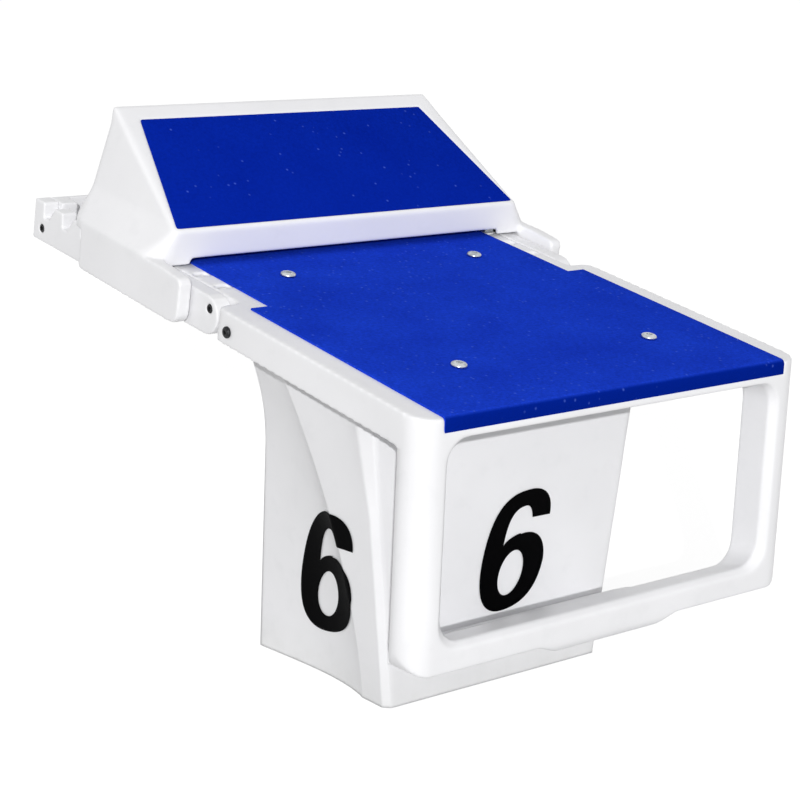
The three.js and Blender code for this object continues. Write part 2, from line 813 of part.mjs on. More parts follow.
function deckFrame() {
  const half = bearerSize / 2;
  const bore = half - bearerWall;
  const bearer = block(deckBoltAcross - half, deckBoltAcross + half, bearerStart, bearerEnd,
    -bearerBottom, -bearerTop, deckMatrix);
  const bearerBore = block(deckBoltAcross - bore, deckBoltAcross + bore, bearerStart - cutOverrun,
    bearerEnd + cutOverrun, -bearerBottom + bearerWall, -bearerTop - bearerWall, deckMatrix);
  const inner = deckBoltAcross - half;
  const outerEnd = deckHalfWidth - skirtThickness - seatGap;
  const front = block(-deckBoltAcross, deckBoltAcross, frontCrossAlong - half, frontCrossAlong + half,
    -bearerBottom, -bearerTop, deckMatrix);
  const rear = block(-outerEnd, outerEnd, rearCrossAlong - half, deckWideLength - skirtThickness - seatGap,
    -bearerBottom, -bearerTop, deckMatrix);
  const channel = (left, right, along, far) => block(left, right, along - bore, far,
    -bearerBottom - cutOverrun, -bearerTop - bearerWall, deckMatrix);
  const rearFar = deckWideLength - skirtThickness - seatGap - bearerWall;
  const sideHole = rod(deckPoint(outerEnd - crossEndWall - cutOverrun, rearCrossAlong, -sideBoltDepth),
    deckPoint(outerEnd + cutOverrun, rearCrossAlong, -sideBoltDepth), sideBoltRadius + seatGap, deckMatrix);
  const channels = [
    channel(-inner, inner, frontCrossAlong, frontCrossAlong + bore),
    channel(-inner, inner, rearCrossAlong, rearFar),
    ...bothSides([channel(deckBoltAcross + half, outerEnd - crossEndWall, rearCrossAlong, rearFar)]),
  ];
  return without(union([...bothSides([bearer]), front, rear]), [
    ...bothSides([bearerBore, sideHole]), ...channels, ...deckBoltHoles(), ...frameBoltHoles()]);
}

// Fasteners stand on their head's underside, with the shank hanging down from it.

function socketBolt(headRadius, headHeight, radius, length, socket, socketDepth) {
  const head = rod(deckPoint(0, 0, 0), deckPoint(0, 0, headHeight), headRadius);
  const shank = rod(deckPoint(0, 0, -length), deckPoint(0, 0, headHeight / 2), radius);
  const recess = rod(deckPoint(0, 0, headHeight - socketDepth), deckPoint(0, 0, headHeight + cutOverrun),
    socket, unmoved, 6);
  return head.add(shank).subtract(recess);
}

function domedBolt() {
  const rim = deckBoltHeadHeight / 3;
  const profile = [new THREE.Vector2(0, -deckBoltLength), new THREE.Vector2(deckBoltRadius, -deckBoltLength),
    new THREE.Vector2(deckBoltRadius, 0), new THREE.Vector2(deckBoltHeadRadius, 0),
    new THREE.Vector2(deckBoltHeadRadius, rim)];
  for (let k = 1; k <= cornerSteps; k++) {
    const angle = Math.PI / 2 * k / cornerSteps;
    profile.push(new THREE.Vector2(k === cornerSteps ? 0 : deckBoltHeadRadius * Math.cos(angle),
      rim + (deckBoltHeadHeight - rim) * Math.sin(angle)));
  }
  const body = solidOf(new THREE.LatheGeometry(profile, roundSteps).rotateX(Math.PI / 2));
  const recess = rod(deckPoint(0, 0, deckBoltHeadHeight - deckBoltSocketDepth),
    deckPoint(0, 0, deckBoltHeadHeight + cutOverrun), deckBoltSocket, unmoved, 6);
  return body.subtract(recess);
}

function placed(solid, origin, headWay, matrix) {
  const turn = new THREE.Quaternion().setFromUnitVectors(zAxis, headWay);
  const move = new THREE.Matrix4().makeRotationFromQuaternion(turn).setPosition(origin).premultiply(matrix);
  return solid.transform(move.toArray());
}

function deckNut(u, v) {
  const top = -bearerTop - bearerWall - seatGap;
  const hex = rod(deckPoint(u, v, top - nutHeight), deckPoint(u, v, top), nutRadius, deckMatrix, 6);
  return hex.subtract(rod(deckPoint(u, v, top - nutHeight - cutOverrun), deckPoint(u, v, top + cutOverrun),
    deckBoltRadius + seatGap, deckMatrix));
}

function railBolt({ along, depth }) {
  const bolt = socketBolt(railBoltHeadRadius, railBoltHeadHeight, railBoltRadius, railBoltLength,
    railBoltSocket, railBoltSocketDepth);
  return placed(bolt, deckPoint(railOuter - railBoltHeadHeight - seatGap, along, -depth), xAxis, deckMatrix);
}

function sideBolt() {
  const bolt = socketBolt(sideBoltHeadRadius, sideBoltHeadHeight, sideBoltRadius, sideBoltLength,
    sideBoltSocket, sideBoltSocketDepth);
  return placed(bolt, deckPoint(deckHalfWidth + seatGap, rearCrossAlong, -sideBoltDepth), xAxis, deckMatrix);
}

function frameBolt({ u, v }) {
  const bolt = socketBolt(frameBoltHeadRadius, frameBoltHeadHeight, frameBoltRadius, frameBoltLength,
    frameBoltSocket, frameBoltSocketDepth);
  return placed(bolt, deckPoint(u, v, -headPlateTop - headPlateThickness - seatGap), zAxis.clone().negate(),
    deckMatrix);
}

function webBolt(x) {
  const bolt = socketBolt(webBoltHeadRadius, webBoltHeadHeight, webBoltRadius,
    pedestalWall + seatGap + webBoltReach, webBoltSocket, webBoltSocketDepth);
  const seat = new THREE.Vector3(x, pedestalSetback + pedestalWall + seatGap, webBoltHeight - deckHeight);
  return placed(bolt, seat, yAxis, frontMatrix);
}

// Kick plate

function kickFlare(height) {
  const share = (kickFlareTop - height) / (kickFlareTop - kickFlareBottom);
  return Math.min(1, Math.max(0, share)) ** kickFlareShare;
}

function kickHalfWidth(height) {
  const fallShare = (kickHeight - height) / kickHeight;
  const straight = kickRidgeHalfWidth + (kickFootHalfWidth - kickRidgeHalfWidth) * fallShare;
  return straight + (kickSkirtHalfWidth - straight) * kickFlare(height);
}

function kickSlopeAlong(height) {
  return kickFront + (height - kickLipHeight) / Math.tan(kickSlope);
}

function kickOutline(height, inset, slopeInset) {
  const half = kickHalfWidth(height) - inset;
  const near = Math.max(kickFront + inset, kickSlopeAlong(height) + slopeInset / Math.sin(kickSlope));
  const far = kickRear - inset;
  const nearRadius = kickFrontRadius + (kickFrontFootRadius - kickFrontRadius) * kickFlare(height);
  const farRadius = kickRearTopRadius + (kickRearFootRadius - kickRearTopRadius) * kickFlare(height);
  const most = (far - near) * kickRadiusShare;
  return rectangleWithRadii(half, near, far, Math.min(nearRadius, most), Math.min(farRadius, most));
}

function rectangleWithRadii(half, near, far, nearRadius, farRadius) {
  return roundedOutline([[-half, near, nearRadius], [half, near, nearRadius], [half, far, farRadius],
    [-half, far, farRadius]]);
}

const kickLevelShares = [0, 0.04, 0.08, 0.12, 0.16, 0.2, 0.25, 0.3, 0.6, 0.85, 1];

function kickBody(low, high, inset, slopeInset) {
  const levels = kickLevelShares.map(share => low + (high - low) * share);
  if (low < kickLipHeight) {
    const corner = kickLipHeight - slopeInset / Math.cos(kickSlope) + inset * Math.tan(kickSlope);
    levels.push(corner);
    levels.sort((a, b) => a - b);
  }
  return lofted(levels.map(level => kickOutline(level, inset, slopeInset)),
    (point, i) => deckPoint(point.x, point.y, levels[i]), deckMatrix);
}

function kickSkirt() {
  const outline = roundedOutline([
    [kickSkirtFront, kickSweepRise, kickSweepRadius],
    [kickSkirtFront, -kickSkirtDrop, kickSkirtRadius],
    [kickSkirtEnd, -kickSkirtDrop, kickSkirtRadius / 2],
    [kickSkirtEnd, kickSweepHeight, 0],
    [kickSkirtFront + kickSweepLength, kickSweepHeight, kickSkirtRadius],
  ]);
  return across(outline, kickSkirtInner, kickSkirtHalfWidth, deckMatrix);
}

function kickFoot() {
  return block(kickLipHalfWidth, kickSkirtInner + cutOverrun, kickFront, kickRear - kickWall, seatGap,
    kickLipClearance + cutOverrun, deckMatrix);
}

// The panel lies on the slope: its own frame runs across, up the slope and out of it.
const panelMatrix = new THREE.Matrix4().makeRotationX(kickSlope)
  .setPosition(0, kickFront, kickLipHeight).premultiply(deckMatrix);

function panelOutline(margin) {
  const top = panelStart + panelLength;
  return [new THREE.Vector2(-panelBottomHalfWidth - margin, panelStart - margin),
    new THREE.Vector2(panelBottomHalfWidth + margin, panelStart - margin),
    new THREE.Vector2(panelTopHalfWidth + margin, top + margin),
    new THREE.Vector2(-panelTopHalfWidth - margin, top + margin)];
}

function kickTread() {
  return upright(panelOutline(0), -treadThickness, 0, panelMatrix);
}

function guidePinAcross() {
  return kickFootInner + guidePinInset;
}

const footTop = seatGap + kickFootThickness;

function padPlaces() {
  return padAlong.map(along => ({ along, u: railOuter - padWidth / 2 - seatGap }));
}

function kickShell() {
  const outer = kickBody(kickLipClearance, kickHeight, 0, 0);
  const skin = kickBody(seatGap, kickLipClearance + cutOverrun, 0, 0)
    .intersect(union(bothSides([block(kickSkirtInner - cutOverrun, kickSkirtHalfWidth + cutOverrun,
      kickFront, kickRear, 0, kickLipClearance + cutOverrun, deckMatrix)])));
  const innerLength = kickLength - kickWall - kickRearTopRadius - kickSlopeWall / Math.sin(kickSlope);
  const innerTop = kickLipHeight + innerLength * Math.tan(kickSlope);
  const inner = kickBody(footTop, innerTop, kickWall, kickSlopeWall);
  const mouth = block(-kickFootInner, kickFootInner, kickFront + kickWall, kickRear - kickWall,
    -cutOverrun, footTop + cutOverrun, deckMatrix);
  const handleSlot = block(-handleHalfWidth - handleSlotMargin, handleHalfWidth + handleSlotMargin,
    kickRear - kickWall - cutOverrun, kickRear + cutOverrun,
    lockBarUnder - lockStroke - seatGap - handleSlotMargin / 2,
    lockBarUnder + lockBarHeight + handleSlotMargin / 2, deckMatrix);
  const rearLugLeft = railInner + rearLugInset;
  const lugPass = block(rearLugLeft - lugPassMargin, rearLugLeft + rearLugWidth + lugPassMargin,
    rearLugWall - lockBarDepth - lugPassMargin, rearLugWall + lugPassMargin, -cutOverrun,
    footTop + cutOverrun, deckMatrix);
  const pinHoles = guidePinAlong.map(along => rod(deckPoint(guidePinAcross(), along, -cutOverrun),
    deckPoint(guidePinAcross(), along, footTop + cutOverrun), guidePinRadius + seatGap, deckMatrix));
  const pegHoles = padPlaces().map(({ along, u }) => rod(
    deckPoint(u, along + padLength / 2, -cutOverrun),
    deckPoint(u, along + padLength / 2, footTop + cutOverrun), padPegRadius + seatGap, deckMatrix));
  return without(union([outer, skin, ...bothSides([kickFoot(), kickSkirt()])]), [
    inner, mouth, handleSlot, ...bothSides([lugPass, ...pinHoles, ...pegHoles]),
    upright(panelOutline(seatGap), -deckTop, cutOverrun, panelMatrix)]);
}

function glidePad({ along, u }) {
  const half = padWidth / 2;
  const body = block(u - half, u + half, along, along + padLength, -railTop + seatGap, 0, deckMatrix);
  const peg = rod(deckPoint(u, along + padLength / 2, -seatGap),
    deckPoint(u, along + padLength / 2, padPegHeight), padPegRadius, deckMatrix);
  return body.add(peg);
}

// Lock, drawn lifted clear of the notches

function frontLockBar() {
  const top = lockBarUnder + lockBarHeight;
  const lugBottom = -railTop + lugLift;
  const far = frontLugWall - seatGap;
  const near = far - lockBarDepth;
  const half = frontLugInner + frontLugWidth;
  const bar = block(-half, half, near, far, lockBarUnder, top, deckMatrix);
  const lug = block(frontLugInner, half, near, far, lugBottom, top, deckMatrix);
  return union([bar, ...bothSides([lug])]);
}

function rearLockBar() {
  const top = lockBarUnder + lockBarHeight;
  const lugBottom = -railTop + lugLift;
  const far = rearLugWall - seatGap;
  const near = far - lockBarDepth;
  const inner = railInner + rearLugInset;
  const half = inner + rearLugWidth;
  const bar = block(-half, half, near, far, lockBarUnder, top, deckMatrix);
  const lug = block(inner, half, near, far, lugBottom, top, deckMatrix);
  return union([bar, ...bothSides([lug])]);
}

function lockLink() {
  const u = guidePinAcross();
  const half = lockLinkWidth / 2;
  const near = frontLugWall - seatGap - lockBarDepth;
  const far = rearLugWall - 2 * seatGap - lockBarDepth;
  const low = lockBarUnder;
  const top = lockBarUnder + lockBarHeight;
  const link = block(frontLugInner + frontLugWidth + seatGap, u + half, near, far, low, top, deckMatrix);
  return without(link, guidePinAlong.map(along => rod(deckPoint(u, along, low - cutOverrun),
    deckPoint(u, along, top + cutOverrun), guidePinRadius + seatGap, deckMatrix)));
}

function guidePin(along) {
  const u = guidePinAcross();
  return rod(deckPoint(u, along, seatGap), deckPoint(u, along, seatGap + guidePinHeight),
    guidePinRadius, deckMatrix);
}

function releaseHandle() {
  const near = rearLugWall;
  const far = kickRear + handleReach;
  const top = lockBarUnder + lockBarHeight;
  const plate = block(-handleHalfWidth, handleHalfWidth, near, far, lockBarUnder + lockBarHeight / 4,
    top - lockBarHeight / 4, deckMatrix);
  const lip = block(-handleHalfWidth, handleHalfWidth, far - handleLip / 2, far,
    lockBarUnder - handleLip, top - lockBarHeight / 4, deckMatrix);
  return plate.add(lip);
}

// Numerals

const sixOutlineShares = {
  start: [0.994, 0.715],
  curves: [
    [0.993, 0.873, 0.845, 0.989, 0.548, 0.988],
    [0.137, 1.002, 0.011, 0.802, 0, 0.479],
    [0, 0.166, 0.18, 0.011, 0.48, 0.004],
    [0.867, -0.004, 0.999, 0.139, 1.015, 0.336],
    [1.002, 0.508, 0.83, 0.636, 0.554, 0.621],
    [0.616, 0.644, 0.278, 0.623, 0.303, 0.541],
    [0.302, 0.792, 0.395, 0.854, 0.548, 0.855],
    [0.613, 0.858, 0.675, 0.834, 0.708, 0.736],
  ],
};
const sixCounterShares = { middle: [0.501, 0.313], half: [0.194, 0.185] };

// The figure leans to its right by lean over its height, and climbs by rise over its width.
function numeralOutline(width, height, lean, rise) {
  const place = (x, y) => [x * width + y * lean, y * height + x * rise];
  const shape = new THREE.Shape();
  shape.moveTo(...place(...sixOutlineShares.start));
  sixOutlineShares.curves.forEach(([ax, ay, bx, by, x, y]) => {
    shape.bezierCurveTo(...place(ax, ay), ...place(bx, by), ...place(x, y));
  });
  shape.closePath();
  const counter = [];
  for (let k = 0; k < roundSteps; k++) {
    const angle = 2 * Math.PI * k / roundSteps;
    const [midX, midY] = sixCounterShares.middle;
    const [halfX, halfY] = sixCounterShares.half;
    counter.push(new THREE.Vector2(...place(midX + halfX * Math.cos(angle), midY + halfY * Math.sin(angle))));
  }
  return { outline: shape.getPoints(numeralSteps).slice(0, -1), counter };
}

function frontNumeral() {
  const { outline, counter } = numeralOutline(frontNumeralWidth, frontNumeralHeight, frontNumeralLean,
    frontNumeralRise);
  const far = pedestalSetback - seatGap;
  const geometry = extruded(outline, numeralThickness, counter).translate(0, 0, -far).applyMatrix4(frontBasis);
  geometry.translate(frontNumeralLeft, 0, frontNumeralBottom - deckHeight);
  return solidOf(geometry, frontMatrix);
}

function sideNumeral(side) {
  const { outline, counter } = numeralOutline(sideNumeralWidth, sideNumeralHeight, sideNumeralLean,
    sideNumeralRise);
  const reach = pedestalHalfWidth;
  const geometry = extruded(outline, reach, counter);
  const turned = new THREE.Matrix4().makeBasis(yAxis.clone().multiplyScalar(side), zAxis,
    xAxis.clone().multiplyScalar(side));
  const start = side < 0 ? sideNumeralBack : sideNumeralBack - sideNumeralWidth - sideNumeralLean;
  geometry.translate(0, sideNumeralBottom - deckHeight, reach / 2);
  geometry.applyMatrix4(turned).translate(0, start, 0);
  const prism = solidOf(geometry, frontMatrix);
  const body = pedestalBody(0, pedestalTopDepth, 0);
  const shifted = distance => body.translate([side * distance, 0, 0]);
  return prism.intersect(shifted(seatGap + numeralThickness)).subtract(shifted(seatGap));
}

// Finishes

const finishes = {
  gelcoat: { color: 0xf4f5f7, roughness: 0.25, metalness: 0 },
  tread: { color: 0x1133b4, roughness: 0.9, metalness: 0 },
  steel: { color: 0xa8adb2, roughness: 0.35, metalness: 1 },
  galvanised: { color: 0x8e9498, roughness: 0.6, metalness: 1 },
  blackBolt: { color: 0x26272a, roughness: 0.5, metalness: 1 },
  glide: { color: 0x2b2d30, roughness: 0.6, metalness: 0 },
  numeral: { color: 0x0a0a0c, roughness: 0.5, metalness: 0 },
};

const block3d = new THREE.Group();

function addPiece(name, solid, finish) {
  const mesh = new THREE.Mesh(geometryOf(solid), new THREE.MeshStandardMaterial(finishes[finish]));
  mesh.name = name;
  block3d.add(mesh);
}

function addPair(name, solid, finish) {
  addPiece(`${name}_right`, solid, finish);
  addPiece(`${name}_left`, mirrored(solid), finish);
}

addPiece('platform_moulding', platformMoulding(), 'gelcoat');
addPiece('deck_tread', deckTread(), 'tread');
addPair('rail', rail(), 'gelcoat');
addPiece('rear_cross_member', rearCrossMember(), 'gelcoat');
addPiece('pedestal_shell', pedestalShell(), 'gelcoat');
addPiece('support_post', supportPost(), 'galvanised');
addPiece('deck_frame', deckFrame(), 'galvanised');
addPiece('front_numeral', frontNumeral(), 'numeral');
addPiece('left_numeral', sideNumeral(-1), 'numeral');
addPiece('right_numeral', sideNumeral(1), 'numeral');

deckBolts.forEach(({ name, u, v }) => {
  addPiece(`deck_bolt_${name}`, placed(domedBolt(), deckPoint(u, v, seatGap), zAxis, deckMatrix), 'steel');
  addPiece(`deck_nut_${name}`, deckNut(u, v), 'steel');
});
frameBolts.forEach(bolt => addPiece(`frame_bolt_${bolt.name}`, frameBolt(bolt), 'steel'));
railBolts.forEach(bolt => addPair(`rail_bolt_${bolt.name}`, railBolt(bolt), 'blackBolt'));
addPair('side_bolt', sideBolt(), 'blackBolt');
addPiece('web_bolt_left', webBolt(-webBoltAcross), 'steel');
addPiece('web_bolt_right', webBolt(webBoltAcross), 'steel');

addPiece('kick_plate_shell', kickShell(), 'gelcoat');
addPiece('kick_tread', kickTread(), 'tread');
padPlaces().forEach((place, i) => addPair(`glide_pad_${['front', 'rear'][i]}`, glidePad(place), 'glide'));
guidePinAlong.forEach((along, i) => addPair(`guide_pin_${['front', 'rear'][i]}`, guidePin(along), 'steel'));

addPiece('front_lock_bar', frontLockBar(), 'steel');
addPiece('rear_lock_bar', rearLockBar(), 'steel');
addPair('lock_link', lockLink(), 'steel');
addPiece('release_handle', releaseHandle(), 'steel');

export default block3d;
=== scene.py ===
"""The look of a swimming starting block: glossy moulded shells, a granular blue tread, black lane numbers.

Metres, +Z up. "Deck" places are across, along (back from the front edge) and up from the tread's face.
"""
import json
import math

import bmesh
import bpy
from mathutils import Matrix, Vector


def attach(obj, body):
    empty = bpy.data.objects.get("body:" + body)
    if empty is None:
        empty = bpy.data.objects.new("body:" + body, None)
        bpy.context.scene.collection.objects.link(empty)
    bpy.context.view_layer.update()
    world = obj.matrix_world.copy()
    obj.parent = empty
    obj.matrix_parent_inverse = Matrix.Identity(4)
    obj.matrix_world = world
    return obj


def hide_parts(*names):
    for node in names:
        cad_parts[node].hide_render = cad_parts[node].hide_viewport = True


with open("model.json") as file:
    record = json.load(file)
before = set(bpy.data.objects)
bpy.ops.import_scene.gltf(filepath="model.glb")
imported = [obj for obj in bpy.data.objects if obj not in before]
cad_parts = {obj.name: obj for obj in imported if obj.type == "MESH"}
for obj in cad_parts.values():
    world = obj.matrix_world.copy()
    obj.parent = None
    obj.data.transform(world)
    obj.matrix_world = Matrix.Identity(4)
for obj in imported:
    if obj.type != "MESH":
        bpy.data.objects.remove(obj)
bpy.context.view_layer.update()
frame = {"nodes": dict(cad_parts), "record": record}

MM = 0.001

# Block
DECK_HEIGHT = 385 * MM
DECK_SLOPE = math.radians(8.4)
FRONT_Y = -294.5 * MM

# Tread of the deck
TREAD_THICKNESS = 2.7 * MM
TREAD_HALF_WIDTH = 250 * MM
TREAD_WIDE_LENGTH = 330 * MM
TREAD_NARROW_HALF_WIDTH = 224 * MM
TREAD_LENGTH = 600 * MM
FOLD_DEPTH = 17.5 * MM
FOLD_RADIUS = 6 * MM
FOLD_STEPS = 8
TREAD_EDGE = 0.9 * MM
TREAD_EDGE_ANGLE = math.radians(50)

# Cells of the deck's sheet: the first behind the fold and behind the shoulders, and how many follow
SHEET_FIRST = 30 * MM
SHEET_SECOND = 40 * MM
SHEET_CELLS = {"wide": 6, "narrow": 5, "across": 8}

# Tread of the kick plate
KICK_FRONT = 471 * MM
KICK_LIP_HEIGHT = 41 * MM
KICK_SLOPE = math.radians(27.9)
PANEL_BOTTOM_HALF_WIDTH = 253 * MM
PANEL_TOP_HALF_WIDTH = 212 * MM
PANEL_START = 5.5 * MM
PANEL_LENGTH = 176 * MM
PANEL_CORNER = 2.5 * MM
PANEL_CORNER_STEPS = 5

# Pedestal
PEDESTAL_SETBACK = 175 * MM
PEDESTAL_FRONT = FRONT_Y + PEDESTAL_SETBACK
PEDESTAL_DEPTH = 239 * MM
PEDESTAL_REAR = PEDESTAL_FRONT + PEDESTAL_DEPTH
PEDESTAL_HALF_WIDTH = 162 * MM
PEDESTAL_DRAFT = 0.126
PEDESTAL_WALL = 5 * MM
PEDESTAL_TOP_DEPTH = 46 * MM
PEDESTAL_CHAMFER = 7 * MM
UPPER_CHAMFER = 22 * MM
UPPER_CHAMFER_BASE = 222 * MM
UPPER_DISH = 6 * MM
REAR_HALF_WIDTH = 161 * MM
REAR_FLARE = 39 * MM
REAR_FLARE_HEIGHT = 140 * MM
CREASE_FOOT_SETBACK = 42 * MM
CREASE_SWEEP = 128 * MM
DISH_DEPTH = 10 * MM
DISH_SKEW = 0.5
DISH_SOFTNESS = 0.12
MOUTH_HALF_WIDTH = 104 * MM
MOUTH_MARGIN = 16 * MM
SKIN_LEVELS = 84
SKIN_CELLS = {"end": 30, "chamfer": 8, "upper": 26, "lower": 60}
LOWER_CROWDING = 1.5
TOP_FIT_PASSES = 5
SEAM_GAP = 0.01 * MM

# Lane numbers: places run across or along, and up from the ground
SIX_START = (0.994, 0.715)
SIX_CURVES = (
    (0.993, 0.873, 0.845, 0.989, 0.548, 0.988),
    (0.137, 1.002, 0.011, 0.802, 0, 0.479),
    (0, 0.166, 0.18, 0.011, 0.48, 0.004),
    (0.867, -0.004, 0.999, 0.139, 1.015, 0.336),
    (1.002, 0.508, 0.83, 0.636, 0.554, 0.621),
    (0.616, 0.644, 0.278, 0.623, 0.303, 0.541),
    (0.302, 0.792, 0.395, 0.854, 0.548, 0.855),
    (0.613, 0.858, 0.675, 0.834, 0.708, 0.736),
)
SIX_COUNTER = (0.501, 0.313, 0.194, 0.185)
FRONT_SIX = {"width": 96.3 * MM, "height": 139.6 * MM, "lean": 23.9 * MM, "rise": 9.2 * MM}
FRONT_SIX_PLACE = (-43.3 * MM, 79.5 * MM)
SIDE_SIX = {"width": 115.1 * MM, "height": 155.1 * MM, "lean": 28.7 * MM, "rise": 19.1 * MM}
SIDE_SIX_PLACE = (350.6 * MM, 44.9 * MM)
FILM_LIFT = 0.8 * MM
FILM_THICKNESS = 0.4 * MM
FIGURE_CURVE_STEPS = 18
COUNTER_STEPS = 72
FILM_CELLS = 40

# Screws: their sizes, with the head's dome as a share of its height and the flat inside the dome as a share
# of its radius, and their places across, along and down from the tread's face, in mm
DECK_SCREW = {"head_radius": 9 * MM, "head_height": 3.6 * MM, "dome": 0.75, "flat": 0.52,
              "shank_radius": 5 * MM, "length": 24 * MM, "socket": 3.4 * MM}
DECK_SCREWS = {"front_left": (-141, 108), "front_right": (141, 108), "rear_left": (-141, 410),
               "rear_right": (141, 410)}
DECK_SCREW_LIFT = 0.3 * MM
RAIL_SCREW = {"head_radius": 5 * MM, "head_height": 6 * MM, "dome": 0.15, "flat": 0.86,
              "shank_radius": 3 * MM, "length": 26 * MM, "socket": 2.6 * MM}
RAIL_SCREWS = {"front": (379, 17), "middle": (600, 27), "rear": (739, 36)}
RAIL_OUTER = 268.3 * MM
RAIL_SCREW_SINK = 6.3 * MM
SIDE_SCREW = {"head_radius": 6.5 * MM, "head_height": 3.5 * MM, "dome": 0.6, "flat": 0.52,
              "shank_radius": 3 * MM, "length": 9 * MM, "socket": 2.2 * MM}
SIDE_SCREW_PLACE = (325, 24)
SIDE_SCREW_ACROSS = 280.3 * MM
SCREW_STEPS = 48
HEAD_STEPS = 8

# All screws: the shank's end as a radius, then shares for its tip, for the head's foot across and up, and
# for the socket's walls, each as a depth in the head and a width
SHANK_END = 0.0001 * MM
SHANK_TIP_SHARE = 0.8
HEAD_FOOT_SHARES = (0.98, 0.06)
SOCKET_WALL_SHARES = ((0, 1.06), (0.05, 1.0), (0.55, 1.0), (0.59, 0.02))
SCREW_EDGE = 0.15 * MM
SCREW_EDGE_ANGLE = math.radians(35)

# Mouldings: the grain of the even skin that rounds their edges, and how often it is relaxed
MOULD_SKINS = {"platform_moulding": (2 * MM, 8), "kick_plate_shell": (1.8 * MM, 12),
               "rail_left": (1.2 * MM, 6), "rail_right": (1.2 * MM, 6), "rear_cross_member": (1.6 * MM, 4)}

# Steel pieces: how far their edges are broken; the lock's lugs lead into their notches
STEEL_EDGES = {"support_post": 0.6 * MM, "deck_frame": 0.6 * MM, "front_lock_bar": 2 * MM,
               "rear_lock_bar": 2 * MM, "release_handle": 0.6 * MM, "lock_link_left": 0.6 * MM,
               "lock_link_right": 0.6 * MM}
STEEL_EDGE_ANGLE = math.radians(40)

# Camera: lens and sensor in mm, then the fit to the photograph
CAMERA_LENS = 94.63
CAMERA_SENSOR = 36
CAMERA_PLACE = (-1.553, -1.7725, 0.8895)
CAMERA_FORWARD = (0.625, 0.7423, -0.2415)
CAMERA_UP = (0.1228, 0.2121, 0.9695)

# Studio: a small flash, far behind the camera and a little above it, as the camera sees it, and even light
FLASH_PLACE = (0.08, 0.42, 7.6)
FLASH_AIM = (0, 0, 0.3)
FLASH_SIZE = 0.1
FLASH_POWER = 690
SKY_LEVEL = 0.5
FLOOR_GLOW = 0.75
FLOOR_REACH = 16

# The sockets of a node that maps one range to another
RANGE = ("From Min", "From Max", "To Min", "To Max")


# Places

deck_place = Matrix.Translation((0, FRONT_Y, DECK_HEIGHT)) @ Matrix.Rotation(DECK_SLOPE, 4, "X")
panel_foot = Matrix.Translation((0, KICK_FRONT, KICK_LIP_HEIGHT))
panel_place = deck_place @ panel_foot @ Matrix.Rotation(KICK_SLOPE, 4, "X")


# Finishes

def linear(hex_colour):
    """An sRGB hex value as the linear colour that a shader takes."""
    channels = [int(hex_colour[i:i + 2], 16) / 255 for i in (1, 3, 5)]
    return [c / 12.92 if c <= 0.04045 else ((c + 0.055) / 1.055) ** 2.4 for c in channels] + [1]


def per_metre(millimetres):
    """The pattern scale whose features are that many millimetres wide."""
    return 1000 / millimetres


def add(tree, kind, links=None, values=None, stops=(), **settings):
    """Adds a node with its settings, plain socket values, colour stops and links from other sockets."""
    node = tree.nodes.new(kind)
    for name, value in settings.items():
        setattr(node, name, value)
    for socket, value in (values or {}).items():
        node.inputs[socket].default_value = value
    for number, (spot, colour) in enumerate(stops):
        elements = node.color_ramp.elements
        stop = elements[number] if number < 2 else elements.new(spot)
        stop.position, stop.color = spot, linear(colour)
    for socket, source in (links or {}).items():
        tree.links.new(source, node.inputs[socket])
    return node


def new_finish(name, colour, roughness, **sockets):
    """A Principled material; gives its node tree, its shader and its object coordinates."""
    finish = bpy.data.materials.new(name)
    finish.use_nodes = True
    tree = finish.node_tree
    shader = tree.nodes["Principled BSDF"]
    shader.inputs["Base Color"].default_value = linear(colour)
    shader.inputs["Roughness"].default_value = roughness
    for socket, value in sockets.items():
        shader.inputs[socket.replace("_", " ")].default_value = value
    place = add(tree, "ShaderNodeTexCoord").outputs["Object"]
    return finish, tree, shader, place


